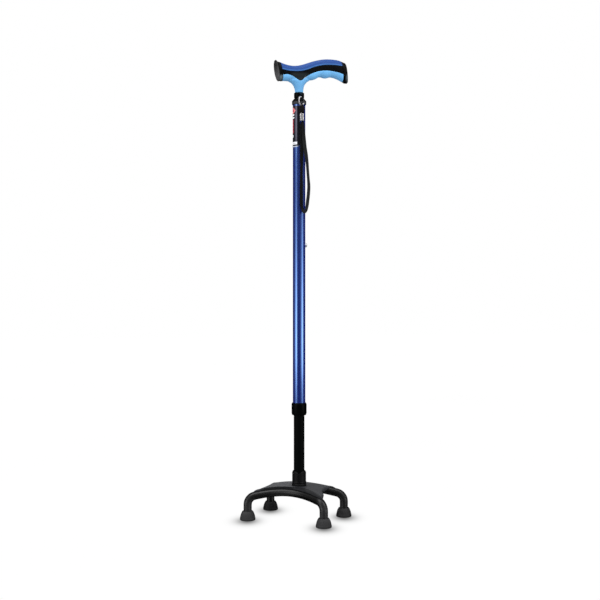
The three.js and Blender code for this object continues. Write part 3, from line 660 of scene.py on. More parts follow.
def webbing():
    """braided cord: diagonal strands crossing; U runs along the cord, V round it"""
    g = material_graph("strap_braid")
    along, around, _ = g.split(g.node("ShaderNodeUVMap").outputs[0])

    def strands(lean):
        phase = g.math(lean, g.mul(along, 0.9), g.mul(around, 6.0))
        return g.math("SINE", g.mul(phase, 2 * math.pi))

    braid = g.math("MAXIMUM", strands("ADD"), strands("SUBTRACT"))
    fuzz = g.noise(2600, 3.0, 0.6)
    clouds = g.noise(120, 3.0, 0.5)
    colour = g.mix(g.ramp(braid, (-0.3, 1.0)), srgb(8, 9, 9), srgb(31, 32, 33))
    colour = g.mix(g.ramp(clouds, MID, (0.0, 0.4)), colour, srgb(20, 21, 22))
    colour = g.mix(g.ramp(fuzz, (0.4, 0.7), (0.0, 0.3)), colour, srgb(40, 41, 42))
    # painted shade from the "tone" attribute: the run against the tube and the part under the
    # crimp
    colour = g.mix(g.mul(g.attribute("tone"), 0.88), colour, srgb(3, 3, 4))
    normal = g.bump(braid, strength=0.7, depth=0.15)
    normal = g.bump(fuzz, strength=0.3, depth=0.06, below=normal)
    return g.principled(Base_Color=colour, Roughness=g.ramp(fuzz, MID, (0.7, 0.95)),
                        Normal=normal, Specular_IOR_Level=0.15, Sheen_Weight=0.05,
                        Sheen_Roughness=0.5)


def label_film():
    """dark printed film with a bright rule at its lower end and plain bars and dots

    U is degrees round the tube, V millimetres up.
    """
    g = material_graph("label_film")
    angle, height, _ = g.split(g.node("ShaderNodeUVMap").outputs[0])
    mm_per_degree = 0.1955
    soft_height = 0.25

    def box(angles, heights, soft=1.5):
        mask = None
        for value, (start, end), blur in ((angle, angles, soft),
                                          (height, heights, soft_height)):
            for edge, to in ((start, (0.0, 1.0)), (end, DOWN)):
                part = g.ramp(value, (edge - blur, edge + blur), to)
                mask = part if mask is None else g.mul(mask, part)
        return mask

    def spot(at, radius, square):
        across = g.mul(g.sub(angle, at[0]), mm_per_degree)
        up = g.sub(height, at[1])
        if square:
            distance = g.add(g.size(across), g.size(up))
        else:
            squares = g.add(g.math("POWER", g.size(across), 2.0),
                            g.math("POWER", g.size(up), 2.0))
            distance = g.math("POWER", squares, 0.5)
        return g.ramp(distance, (radius - 0.2, radius + 0.2), DOWN)

    clouds = g.noise(90, 3.0, 0.5)
    fine = g.noise(2400, 2.0, 0.5)
    colour = g.mix(g.ramp(clouds, MID), srgb(1, 1, 5), srgb(4, 4, 11))
    red, pink, white = srgb(176, 36, 62), srgb(214, 120, 122), srgb(226, 228, 232)
    print_ = [(box((164, 200), (682, 708), soft=6.0), srgb(84, 8, 30)),
              (box((164, 188), (684, 706.5), soft=4.0), red)]
    print_ += [(box((164, 184), (684.5 + 6 * k, 687.5 + 6 * k)), pink) for k in range(4)]
    print_ += [(spot((188, 722.6), radius=6.2, square=True), pink),
               (spot((186, 722.6), radius=2.6, square=True), red)]
    print_ += [(box((166, 203), (z, z + 2.9)), white) for z in (708.8, 713.8)]
    print_ += [(box((166, 190), (675.5, 680.0)), white),
               (box((168, 234), (662.6, 667.4)), white)]
    print_ += [(spot((a, 665.0), radius=0.9, square=False), srgb(20, 20, 26))
               for a in (190, 212)]
    for mask, ink in print_:
        colour = g.mix(mask, colour, ink)
    # the rule follows the lower, rounded end
    rule = g.mul(g.ramp(g.attribute("rim"), (0.45, 0.55)), g.ramp(angle, (238, 246), DOWN))
    colour = g.mix(rule, colour, srgb(186, 194, 208))
    return g.principled(Base_Color=colour, Roughness=g.ramp(clouds, MID, (0.06, 0.09)),
                        IOR=1.95, Specular_Tint=(0.75, 0.76, 1.0),
                        Normal=g.bump(fine, strength=0.12, depth=0.01))


BLUE_TUBE = anodised("blue_anodised", body=(0.006, 0.013, 0.185), tint=(0.27, 0.49, 1.0),
                     rough=0.10, ior=6.0, lines=0.06)
BLACK_TUBE = anodised("black_anodised", body=srgb(5, 6, 6), tint=(0.9, 1.0, 0.97),
                      rough=0.20, ior=1.10)
# painted shade: dimmer away from the camera, dimmer on the arch, in the plate's shade on the
# front leg and in hollows
LEG_PAINT = finish(
    "leg_paint", srgb(31, 31, 32), rough=0.27, cloud=45, grain=1500, depth=0.03, relief=0.3,
    dust=0.02, spec=0.62, crevice_shade=5.0, far=True, high=(0.032, 0.044, 0.28),
    dark=("shade", 0.62))
# painted shade along the front lip, from an attribute, and in hollows
PLATE_PAINT = finish(
    "plate_paint", srgb(58, 59, 63), rough=0.44, cloud=40, grain=1300, depth=0.03,
    relief=0.35, wear=0.25, worn=srgb(96, 97, 101), dust=0.04, spec=0.35, crevice_shade=5.0,
    dark=("lip_shade", 0.90))
# painted shade in its hollows
SOCKET_PAINT = finish(
    "socket_paint", srgb(12, 12, 13), rough=0.36, cloud=70, grain=1300, wear=0.5,
    worn=srgb(60, 60, 64), spec=0.16, crevice_shade=4.0)
# painted shade: dimmer away from the camera and in hollows
RUBBER = finish(
    "tip_rubber", srgb(40, 40, 41), rough=0.62, cloud=80, grain=1800, depth=0.04,
    relief=0.4, pebbles=(1400, 0.15, 0.03), dust=0.06, spec=0.20, crevice_shade=4.0, far=True)
ZINC = finish("zinc_plate", (0.55, 0.55, 0.56), rough=0.32, metal=1.0, mottle=0.10,
              cloud=150, depth=0.01)
SPRING_STEEL = finish("spring_steel", (0.38, 0.39, 0.42), rough=0.26, metal=1.0, cloud=160,
                      grain=1200, depth=0.008)
BUTTON_STEEL = finish("polished_steel", (0.80, 0.80, 0.83), rough=0.20, metal=0.75,
                      mottle=0.05, cloud=200, grain=1500, depth=0.004)
COLLAR_PLASTIC = finish(
    "collar_plastic", srgb(3, 4, 4), rough=0.24, mottle=0.15, cloud=120, grain=1600,
    depth=0.012, relief=0.2, wear=0.12, worn=srgb(60, 62, 62), spec=0.05)
STRAP_COLLAR_PLASTIC = finish(
    "strap_collar_plastic", srgb(4, 5, 6), rough=0.22, mottle=0.15, cloud=160, grain=1500,
    depth=0.01, relief=0.15, spec=0.08)
INNER_PLASTIC = finish("inner_plastic", srgb(20, 21, 22), rough=0.45, cloud=120,
                       grain=1200, depth=0.015, spec=0.3)
BRIGHT = dict(rough=0.20, mottle=0.03, cloud=220, grain=1400, depth=0.003, relief=0.15,
              spread=0.03)
CHROME = finish("bright_plate", (0.93, 0.91, 0.94), metal=0.88, **BRIGHT)
# painted reflection: dark where the "tone" attribute marks the mirrored collar
RING_PLATE = finish("ring_plate", (0.95, 0.93, 0.96), metal=0.80, dark=("tone", 0.85),
                    **BRIGHT)
# painted highlights on the end caps from the "shine" attribute
CAP_PLASTIC = finish(
    "cap_plastic", srgb(6, 6, 7), rough=0.34, cloud=120, grain=2200, relief=0.3, wear=0.25,
    worn=srgb(70, 71, 72), spec=0.14, light=("shine", srgb(104, 116, 122), 1.0))
# painted light: the lower part of the nose's face is lighter
CAP_FACE_PLASTIC = finish(
    "cap_face_plastic", srgb(40, 40, 41), rough=0.44, mottle=0.06, cloud=120, grain=2200,
    relief=0.3, wear=0.2, worn=srgb(130, 130, 130), spec=0.3, low=(0.782, 0.800, 3.4))
CORE_PLASTIC = finish(
    "core_plastic", srgb(7, 8, 11), rough=0.34, mottle=0.16, cloud=70, grain=2000,
    wear=0.1, worn=srgb(60, 64, 70), spec=0.12, light=("tri", srgb(34, 39, 41), 1.0))
NUT_PLASTIC = nut_plastic()
# painted shade low on the neck and in hollows, painted highlight on ridges
GRIP_BLUE = soft_grip("grip_soft_blue", srgb(112, 180, 234), hollow=srgb(78, 140, 204),
                      rough=0.52, neck=(0.764, 0.784, 0.74))
# painted highlight along its lower edge, painted shade in hollows
PAD_BLUE = soft_grip("pad_soft_blue", srgb(12, 60, 127), hollow=srgb(8, 34, 86),
                     rough=0.46, rim=(srgb(70, 124, 190), 0.55))
LEATHER = leather()
BRAID = webbing()
LABEL_FILM = label_film()

# CAD pieces that are shown as they are
PLAIN_PIECES = {
    ZINC: ("lower_tube_plug", "handle_stem", "handle_bolt", "base_bolt_washer",
           "front_left_tip_washer", "rear_left_tip_washer", "front_right_tip_washer",
           "rear_right_tip_washer"),
    INNER_PLASTIC: ("lower_tube_guide", "collar_bush", "stem_bush"),
}
for material, names in PLAIN_PIECES.items():
    for name in names:
        set_material(frame["nodes"][name], material)

# ============================================================ base
# Laid out along the saddle plate, across it and up, then turned to the cane's frame.
BASE_TURN = math.radians(-41.2)
BASE_SHIFT = -5.8                      # along
FOOT_ALONG, FOOT_ACROSS = 72.5, 47.2
FEET = {"front_left": (-1, -1), "rear_left": (-1, 1),
        "front_right": (1, -1), "rear_right": (1, 1)}      # signs of along and across
MID_ACROSS, ARCH_Z, ARCH_DROP = 30.5, 51.1, 8.33
BEND_ALONG, BEND_Z = 62.8, 28.0        # where a leg starts and ends its bend downwards


def to_cane(points):
    return turned(np.asarray(points, float) + np.array([BASE_SHIFT, 0.0, 0.0]), BASE_TURN)


def foot_place(along_sign, across_sign):
    return to_cane([[along_sign * FOOT_ALONG, across_sign * FOOT_ACROSS, 0.0]])[0]


def arch_across(along):
    return MID_ACROSS + (FOOT_ACROSS - MID_ACROSS) * (np.abs(along) / FOOT_ALONG) ** 2


def arch_z(along):
    return ARCH_Z - ARCH_DROP * (np.abs(along) / 60.0) ** 1.9


def leg_line():
    """centre line of a leg tube as (along, across, z), from foot to foot"""
    half = [(u, float(arch_across(u)), float(arch_z(u))) for u in (0, 11, 22, 33, 44, 53)]
    for degrees in (8, 30, 50, 70, 90):
        t = math.radians(degrees)
        u = BEND_ALONG + (FOOT_ALONG - BEND_ALONG) * math.sin(t)
        z = float(arch_z(u))
        half.append((u, float(arch_across(u)), z - (1 - math.cos(t)) * (z - BEND_Z)))
    half += [(FOOT_ALONG, FOOT_ACROSS, 15.0), (FOOT_ALONG, FOOT_ACROSS, 5.9)]
    return [(-u, v, z) for u, v, z in reversed(half[1:])] + half


def build_leg(name, side):
    path = smooth_path([(u, side * v, z) for u, v, z in leg_line()], 220)
    verts, faces = hollow_sweep(path, (0, 1, 0), LEG_R, LEG_BORE, 44)
    leg = mesh_object(name + "_visual", to_cane(verts), faces)
    along = np.asarray(verts, float)[:, 0]
    # the right half of the front leg lies in the plate's shade
    shadow = rise(along, 12.0, 20.0) * fall(along, 66.0, 8.0) if side < 0 else 0.0 * along
    attribute(leg, "shade", shadow)
    put(leg, "base", LEG_PAINT, name)


build_leg("front_leg_tube", -1)
build_leg("rear_leg_tube", 1)

# rubber tips ----------------------------------------------------------------
TIP_H, TIP_R, TIP_TOP_R = 15.8, 13.6, 9.4
TIP_FLOOR = 3.8                        # bottom of the tip's bore
TIP_PROFILE = fillet([
    (0, 1.3), (3.2, 1.3), (3.9, 0.0), (6.0, 0.0), (6.6, 1.3), (8.0, 1.3), (8.6, 0.0),
    (TIP_R - 0.5, 0.0), (TIP_R + 0.1, 0.8), (TIP_R + 0.1, 3.6), (TIP_R - 0.25, 4.6, 0.3),
    (TIP_R - 0.5, 6.2), (TIP_R - 1.15, 9.0), (TIP_R - 2.15, 11.9), (TIP_TOP_R + 0.75, 14.3),
    (TIP_TOP_R - 0.1, TIP_H, 0.3), (LEG_R + CLEARANCE, TIP_H), (LEG_R + 0.25, TIP_H - 0.8),
    (LEG_R + 0.4, TIP_FLOOR), (0, TIP_FLOOR)], 0.45)
for name, signs in FEET.items():
    tip = lathe(name + "_tip_visual", TIP_PROFILE, 72, foot_place(*signs))
    put(tip, "base", RUBBER, name + "_rubber_tip")

# saddle plate ---------------------------------------------------------------
# its two ends: across, distance along from the middle
PLATE_RIGHT = [
    (-60, 69.5), (-49, 69.5), (-41, 69.2), (-37, 67.6), (-28, 64.6), (-18, 61.2),
    (-11, 56.5), (0, 51.7), (12, 49.6), (26, 49.6), (35, 51.2), (39, 54.0), (44, 57.0),
    (52, 60.0), (60, 62.0)]
PLATE_LEFT = [
    (-60, 62.5), (-45, 62.5), (-30, 63.0), (-10, 63.4), (5, 63.8), (18, 64.6), (28, 66.2),
    (36, 68.2), (41, 69.3), (49, 69.5), (60, 69.5)]
# roll of the two hollow ends: distance in from the end, height over the plain sheet
ROLL = [
    (0.0, -4.6), (0.0, -3.7), (0.08, -2.8), (0.30, -1.9), (0.75, -1.05), (1.4, -0.4),
    (2.3, 0.12), (3.4, 0.40), (4.8, 0.42), (6.4, 0.26), (8.2, 0.10), (10.0, 0.0)]
PLATE_OUT_R, PLATE_IN_R = LEG_R + 1.3, LEG_R + CLEARANCE   # skins where it wraps the tubes
WRAP = math.radians(34)                # how far it wraps round them
FLAT = 0.78                            # share of the half width before the wrap
PLATE_ROWS, PLATE_COLS = 65, 84        # rows across, columns between the rolled ends
COLS_INSET = 11.5                      # where those columns start, in from an end


def spine(along):
    """height of the tubes' centre line, the bend towards the feet included"""
    z = arch_z(along)
    s = (np.abs(along) - BEND_ALONG) / (FOOT_ALONG - BEND_ALONG)
    t = np.arcsin(np.clip(s, 0, 0.999))
    return z - (1 - np.cos(t)) * (z - BEND_Z)


def over_spine(along, across, height):
    """points at a height measured square to the centre line"""
    e = 0.05
    slope = (spine(along + e) - spine(along - e)) / (2 * e)
    k = np.sqrt(1 + slope ** 2)
    return np.stack([along - slope / k * height, across, spine(along) + height / k], axis=1)


def wrap_angle(w):
    return (abs(w) - FLAT) / (1 - FLAT) * WRAP


def plate_skin(w, along):
    """across position and height over the centre line; w runs from -1, front, to 1, rear"""
    tube = arch_across(along)
    lip = 0.0 * along
    if w < 0:
        lip = 1.5 * fall(along, 34.0, 22.0) * rise(along, -62.0, 14.0)
    if abs(w) <= FLAT:
        f = abs(w) / FLAT
        k = rise(f, 0.60, 0.36)
        height = PLATE_OUT_R - 0.5 * (1 - f * f) + lip * k * k * (3 - 2 * k)
        return np.sign(w) * f * tube, height
    th = wrap_angle(w)
    height = PLATE_OUT_R * math.cos(th) + lip * (1 - (th / WRAP) ** 2)
    return np.sign(w) * (tube + PLATE_OUT_R * math.sin(th)), height


def plate_reach(w, sign):
    """centre-line station whose skin comes out at the end curve, found by halving"""
    end = PLATE_RIGHT if sign > 0 else PLATE_LEFT
    lo, hi = 20.0, 71.5
    for _ in range(26):
        mid = (lo + hi) / 2
        along = np.array([sign * mid])
        p = over_spine(along, *plate_skin(w, along))[0]
        if sign * p[0] < float(pchip(end, p[1])):
            lo = mid
        else:
            hi = mid
    return sign * lo


def painted_lip_shade(w, along):
    """painted shade: broad along the left and middle of the front lip, thin on its right"""
    a = abs(w)
    tone = 0.20 + 0.37 * rise(along, -12.0, 34.0) ** 1.3
    if w < 0:
        wide = fall(along, 32.0, 24.0) * rise(along, -66.0, 24.0)
        thin = rise(a, 0.955, 0.02) * fall(along, 68.0, 4.0)
        fade = (1 - wide) * 0.62 * rise(a, 0.66, 0.30) * rise(along, 4.0, 14.0)
        begin = 0.22 + 0.36 * rise(along, 28.0, 36.0)
        band = 0.90 * rise(a, begin, 0.24) * rise(along, -4.0, 14.0)
        for part in (wide * rise(a, 0.765, 0.06), thin,
                     fade * np.maximum(fall(along, 58.0, 8.0), 0.15),
                     band * fall(along, 74.0, 4.0)):
            tone = np.maximum(tone, part)
    return tone


def plate_row(w):
    """top points, bottom points and painted shade of one row along the plate"""
    a = abs(w)
    left, right = plate_reach(w, -1), plate_reach(w, 1)
    inner = np.linspace(left + COLS_INSET, right - COLS_INSET, PLATE_COLS)
    along = np.array([left + d for d, _ in ROLL] + list(inner)
                     + [right - d for d, _ in reversed(ROLL)])
    roll = np.array([h for _, h in ROLL] + [0.0] * PLATE_COLS + [h for _, h in ROLL[::-1]])
    across, height = plate_skin(w, along)
    # where the sheet lies on a tube the lip can only drop as far as the tube's skin
    free = fall(a, 0.70, 0.16)
    rolled = height + np.where(roll < 0, roll * (0.24 + 0.76 * free), roll)
    top = over_spine(along, across, rolled)
    if a <= FLAT:
        thick = 4.2 - 2.9 * rise(a, 0.5, 0.2)
        off_tube = np.abs(np.abs(across) - arch_across(along))
        groove = np.where(off_tube < PLATE_IN_R,
                          np.sqrt(np.maximum(0.0, PLATE_IN_R ** 2 - off_tube ** 2)), -9.0)
        under = np.maximum(height - thick, np.minimum(groove, height - 0.9))
        under = np.minimum(under, rolled - 0.85)
    else:
        th = wrap_angle(w)
        across = np.sign(w) * (arch_across(along) + PLATE_IN_R * math.sin(th))
        under = np.full(along.shape, PLATE_IN_R * math.cos(th))
    wall = 1.1                         # thickness of the rolled ends
    n = len(ROLL)
    inside = along.copy()
    inside[:n] = np.maximum(along[:n], left + wall)
    inside[-n:] = np.minimum(along[-n:], right - wall)
    return top, over_spine(inside, across, under), painted_lip_shade(w, along)


def rounded_edge(top, bottom, next_top):
    """row between top and bottom that stands out a little from the edge"""
    out = top - next_top
    out /= np.linalg.norm(out, axis=1)[:, None] + 1e-9
    return (top + bottom) / 2 + out * 0.4


def build_plate():
    top, bottom, tone = zip(*[plate_row(w) for w in np.linspace(-1, 1, PLATE_ROWS)])
    rows = [*top, rounded_edge(top[-1], bottom[-1], top[-2]),
            *bottom[::-1], rounded_edge(top[0], bottom[0], top[1])]
    tones = [*tone, tone[-1], *tone[::-1], tone[0]]
    m, n, last = len(top[0]), len(rows), PLATE_ROWS - 1
    faces = []
    for i in range(n):
        i2 = (i + 1) % n
        for k in range(m - 1):
            faces.append((i * m + k, i * m + k + 1, i2 * m + k + 1, i2 * m + k))
    for k in (0, m - 1):
        for i in range(last):
            j = 2 * PLATE_ROWS - i
            faces.append((i * m + k, (i + 1) * m + k, (j - 1) * m + k, j * m + k))
        faces.append((last * m + k, (last + 1) * m + k, (last + 2) * m + k))
        faces.append((k, (n - 1) * m + k, (n - 2) * m + k))
    verts = to_cane(np.concatenate(rows))
    plate = mesh_object("base_plate_visual", verts, faces, sharp=50)
    attribute(plate, "lip_shade", np.concatenate(tones))
    put(plate, "base", PLATE_PAINT, "base_plate")


build_plate()

# shaft socket, with a V notch and a slit below it -----------------------------
SOCKET_R, SOCKET_Z0, SOCKET_Z1 = 12.3, 59.7, 85.0
SOCKET_BORE = SHAFT_R + CLEARANCE
SLIT_HALF = 0.35
NOTCH_DIRECTION = math.radians(-108)


def build_socket():
    r, low, high = SOCKET_R, SOCKET_Z0, SOCKET_Z1
    socket = lathe("shaft_socket_visual", fillet([
        (SOCKET_BORE, low, 0), (r + 0.9, low, 0.3), (r + 0.9, low + 1.6),
        (r + 0.1, low + 2.6, 0.5), (r + 0.05, low + 4.0, 0.2), (r + 0.55, low + 4.6, 0.2),
        (r + 0.5, low + 5.6, 0.2), (r, low + 6.4, 0.3), (r, high - 4.0),
        (r + 0.15, high - 3.0), (r - 0.7, high - 1.5), (r - 1.1, high, 0.4),
        (SOCKET_BORE, high, 0.2), (SOCKET_BORE, low, 0)], 0.5), 120)
    outline = [(-7.6, high + 1), (7.6, high + 1), (SLIT_HALF, high - 4.2),
               (SLIT_HALF, low + 4.5), (-SLIT_HALF, low + 4.5), (-SLIT_HALF, high - 4.2)]
    near, far = [turned([(x, y, z) for x, z in outline], NOTCH_DIRECTION - math.pi / 2)
                 for y in (6, 16)]
    boolean(socket, prism("notch", near, far), "DIFFERENCE")
    put(socket, "base", SOCKET_PAINT, "shaft_socket")


build_socket()


# hexagon bolt under the plate -------------------------------------------------
def build_base_bolt():
    corners = [math.radians(60 * k + 12) for k in range(6)]
    hexagon = [(6.1 * math.cos(t), 6.1 * math.sin(t)) for t in corners]
    head = lathe("base_bolt_visual", fillet(
        [(0, 47.0), (4.4, 47.0), (6.2, 48.0), (6.2, 52.2, 0), (0, 52.2)], 0.25), 72)
    cutter = prism("hex", *[[(x, y, z) for x, y in hexagon] for z in (46.0, 53.0)])
    boolean(head, cutter, "INTERSECT")
    stud = lathe("stud", fillet(
        [(0, 51.8), (4.0, 51.8), (4.0, 75.4), (3.4, 76.4), (0, 76.4)], 0.2), 36)
    bolt = merged("base_bolt_visual", [head, stud])
    shade(bolt.data, SHARP_ANGLE)
    put(bolt, "base", ZINC, "base_bolt")


build_base_bolt()

# ============================================================ shaft
BUTTON_Z, HOLE_R, HOLE_PITCH = 485.0, 4.2, 25


def holed_tube(r_out, r_in, z0, z1, hole_zs, n, cols, half_h=6.0, rows=6, lip=0.25):
    """tube with round holes on its +X side and clean rings of faces round each hole

    A hole sits in a patch of 2 * cols by rows cells, half_h up and down from its centre;
    lip is the bevel at the tube's ends.
    """
    levels = [z0, z0 + lip]
    patches = []
    for z in hole_zs:
        patches.append((len(levels), len(levels) + rows))
        levels += list(np.linspace(z - half_h, z + half_h, rows + 1))
    levels += [z1 - lip, z1]
    last = len(levels) - 1
    verts, faces, rims, skins = [], [], [], []
    for R, end_r in ((r_out, r_out - lip), (r_in, r_in + lip * 0.6)):
        first = len(verts)
        skins.append(first)
        for k, z in enumerate(levels):
            r = end_r if k in (0, last) else R
            verts += [(x, y, z) for x, y in ellipse(r, r, n)]

        def idx(k, i):
            return first + k * n + (i % n)

        for k in range(last):
            in_patch = any(k0 <= k < k1 for k0, k1 in patches)
            for i in range(n):
                if in_patch and -cols <= (i if i < n / 2 else i - n) < cols:
                    continue
                faces.append((idx(k, i), idx(k, i + 1), idx(k + 1, i + 1), idx(k + 1, i)))
        for (k0, k1), zc in zip(patches, hole_zs):
            border = [idx(k0, i) for i in range(-cols, cols)]
            border += [idx(k, cols) for k in range(k0, k1)]
            border += [idx(k1, i) for i in range(cols, -cols, -1)]
            border += [idx(k, -cols) for k in range(k1, k0, -1)]
            phis = []
            for q in border:
                t = math.atan2(verts[q][1], verts[q][0])
                phis.append(math.atan2(verts[q][2] - zc, r_out * math.sin(t)))
            ring = border
            for radius in (HOLE_R + 0.9, HOLE_R + 0.3, HOLE_R):
                smaller = []
                for phi in phis:
                    y, dz = radius * math.cos(phi), radius * math.sin(phi)
                    smaller.append(len(verts))
                    verts.append((math.sqrt(R * R - y * y), y, zc + dz))
                for a in range(len(ring)):
                    b = (a + 1) % len(ring)
                    faces.append((ring[a], ring[b], smaller[b], smaller[a]))
                ring = smaller
            rims.append(ring)
    # the holes' walls, then the tube's two ends
    holes = len(hole_zs)
    for a, b in zip(rims[:holes], rims[holes:]):
        for i in range(len(a)):
            j = (i + 1) % len(a)
            faces.append((a[i], a[j], b[j], b[i]))
    for k in (0, last):
        a, b = skins[0] + k * n, skins[1] + k * n
        for i in range(n):
            i2 = (i + 1) % n
            faces.append((a + i, a + i2, b + i2, b + i))
    return verts, faces


lower_tube = mesh_object("lower_tube_visual", *holed_tube(
    SHAFT_R, LOWER_BORE, 60.2, 503.0, [BUTTON_Z], n=72, cols=7))
put(lower_tube, "lower_shaft", BLACK_TUBE, "lower_tube")
upper_tube = mesh_object("upper_tube_visual", *holed_tube(
    UPPER_R, UPPER_BORE, 192.2, 737.0, [BUTTON_Z + HOLE_PITCH * (i - 3) for i in range(7)],
    n=96, cols=8))
put(upper_tube, "upper_shaft", BLUE_TUBE, "upper_tube")


# snap button and its bent leaf spring -----------------------------------------
def build_button():
    verts, faces = lathe_mesh(fillet(
        [(0, 6.2), (4.0, 6.2), (4.0, 6.85), (3.75, 6.85), (3.75, 13.4, 1.6), (2.2, 14.5, 0.8),
         (0, 14.6)], 0.12, 6), 56)
    v = np.array(verts)
    # turned to point along +X
    v = np.stack([v[:, 2], v[:, 1], -v[:, 0] + BUTTON_Z], axis=1)
    button = mesh_object("snap_button_visual", v, faces)
    put(button, "snap_button", BUTTON_STEEL, "snap_button")


# the V of the spring: x, y, z
LEAF = [
    (5.6, 0, 490), (5.6, 0, 478), (4.1, 0, 466), (2.3, 0, 452.2), (1.1, 0, 449.4),
    (0, 0, 448.9), (-1.1, 0, 449.4), (-3.7, 0, 452.2), (-5.6, 0, 465), (-7.4, 0, 478),
    (-7.4, 0, 490)]
# section of the strip: thickness, width
STRIP = [
    (0.3, 2.0), (0.22, 2.15), (0, 2.2), (-0.22, 2.15), (-0.3, 2.0),
    (-0.3, -2.0), (-0.22, -2.15), (0, -2.2), (0.22, -2.15), (0.3, -2.0)]


def build_spring():
    verts, faces = sweep(smooth_path(LEAF, 120), (0, 1, 0), STRIP)
    spring = mesh_object("snap_spring_visual", verts, faces)
    spring.data.materials.append(SPRING_STEEL)
    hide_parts("snap_spring")
    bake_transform(spring)


build_button()
build_spring()

# lock collar ------------------------------------------------------------------
COLLAR_R, COLLAR_Z0, COLLAR_Z1 = 13.4, 183.7, 205.7
COLLAR_BORE = SHAFT_R + 0.45
lock_collar = lathe("lock_collar_visual", fillet([
    (COLLAR_BORE, COLLAR_Z0, 0), (11.7, COLLAR_Z0, 0.4),
    (COLLAR_R - 0.55, COLLAR_Z0 + 1.2, 0.5), (COLLAR_R - 0.5, COLLAR_Z0 + 2.3, 0.2),
    (COLLAR_R, COLLAR_Z0 + 3.0, 0.3), (COLLAR_R, COLLAR_Z1 - 2.7, 0.5),
    (12.0, COLLAR_Z1, 0.4), (UPPER_R + 0.35, COLLAR_Z1, 0.2), (UPPER_R + 0.35, 192.6, 0),
    (12.35, 192.6, 0), (12.35, 186.8, 0), (COLLAR_BORE, 186.8, 0),
    (COLLAR_BORE, COLLAR_Z0, 0)], 0.3), 112)
put(lock_collar, "lock_collar", COLLAR_PLASTIC, "lock_collar")

# cap nut ----------------------------------------------------------------------
NUT_BORE, STEM_BORE = UPPER_R + CLEARANCE, STEM_R + CLEARANCE
NUT_R, NUT_Z0, NUT_Z1 = 12.7, 734.0, 745.3
cap_nut = lathe("cap_nut_visual", fillet([
    (NUT_BORE, NUT_Z0, 0), (12.3, NUT_Z0, 0.3), (NUT_R, 734.6, 0.3), (NUT_R, 740.4, 0.4),
    (11.9, 741.1, 0.5), (9.8, 743.8, 0.8), (8.6, 744.6, 0.5), (8.2, NUT_Z1, 0.2),
    (STEM_BORE, NUT_Z1, 0), (STEM_BORE, 737.3, 0), (NUT_BORE, 737.3, 0),
    (NUT_BORE, NUT_Z0, 0)], 0.3), 96)
put(cap_nut, "upper_shaft", NUT_PLASTIC, "cap_nut")

# label film, wrapped round the tube ---------------------------------------------
LABEL_A0, LABEL_A1 = 120.0, 263.0      # degrees round the tube
LABEL_Z0, LABEL_Z1 = 658.4, 731.0
LABEL_LOW_CORNER, LABEL_TOP_CORNER, LABEL_RULE = 7.0, 1.5, 1.5
LABEL_SKINS = (UPPER_R + 0.24, UPPER_R + 0.05)


def label_grid(cols, rows):
    """points, UVs (degrees, z) and the rule's attribute, of the outer skin then the inner"""
    verts, uv, rim = [], [], []
    middle, half_angle = (LABEL_A0 + LABEL_A1) / 2, (LABEL_A1 - LABEL_A0) / 2
    for R in LABEL_SKINS:
        half_width = math.radians(half_angle) * R
        for i in range(cols + 1):
            s = -1 + 2 * i / cols
            angle = middle + s * (LABEL_A1 - LABEL_A0) / 2

            def corner(radius):
                """how far a rounded corner takes the edge back here"""
                q = max(0.0, abs(s) * half_width - (half_width - radius))
                return radius - math.sqrt(max(0.0, radius * radius - q * q))

            low = LABEL_Z0 + corner(LABEL_LOW_CORNER)
            high = LABEL_Z1 - corner(LABEL_TOP_CORNER)
            for k in range(rows + 1):
                t = k / rows
                t = t * t * (3 - 2 * t) * 0.5 + t * 0.5
                z = low + (high - low) * t
                a = math.radians(angle)
                verts.append((R * math.cos(a), R * math.sin(a), z))
                uv.append((angle, z))
                rim.append(1.0 if z - low < LABEL_RULE and R == LABEL_SKINS[0] else 0.0)
    return verts, uv, rim


def build_label(cols=64, rows=96):
    verts, uv, rim = label_grid(cols, rows)
    m = rows + 1
    inner = (cols + 1) * m
    faces = []
    for i in range(cols):
        for k in range(rows):
            quad = (i * m + k, i * m + k + 1, (i + 1) * m + k + 1, (i + 1) * m + k)
            faces.append(quad)
            faces.append(tuple(inner + x for x in reversed(quad)))
    border = [(i * m + k, (i + 1) * m + k) for i in range(cols) for k in (0, rows)]
    border += [(i * m + k, i * m + k + 1) for k in range(rows) for i in (0, cols)]
    faces += [(a, b, inner + b, inner + a) for a, b in border]
    label = mesh_object("tube_label_visual", verts, faces, uv=uv)
    attribute(label, "rim", rim)
    put(label, "upper_shaft", LABEL_FILM, "tube_label")


build_label()

# ============================================================ strap collar, ring and strap
def level(degrees):
    """level unit vector at an angle from +X"""
    return np.array([math.cos(math.radians(degrees)), math.sin(math.radians(degrees)), 0.0])


def square_to(direction):
    """the level vector a quarter turn clockwise from it, seen from above"""
    return np.array([direction[1], -direction[0], 0.0])


EYE = np.array([-1.6, -19.2, 745.3])   # centre of the eye the ring hangs in
PIN = level(45)                        # axis of the eye and of the tab's fold
RING_R = 7.6
RING_PIN = level(38)                   # the ring hangs a little askew in its eye
RING_FACE = square_to(RING_PIN)
RING_CENTRE = EYE - UP * RING_R
HANG = EYE - UP * 2 * RING_R           # bottom of the ring
ALONG = level(-18)                     # across the strap, towards the camera's right
OUT = square_to(ALONG)                 # towards the camera's side


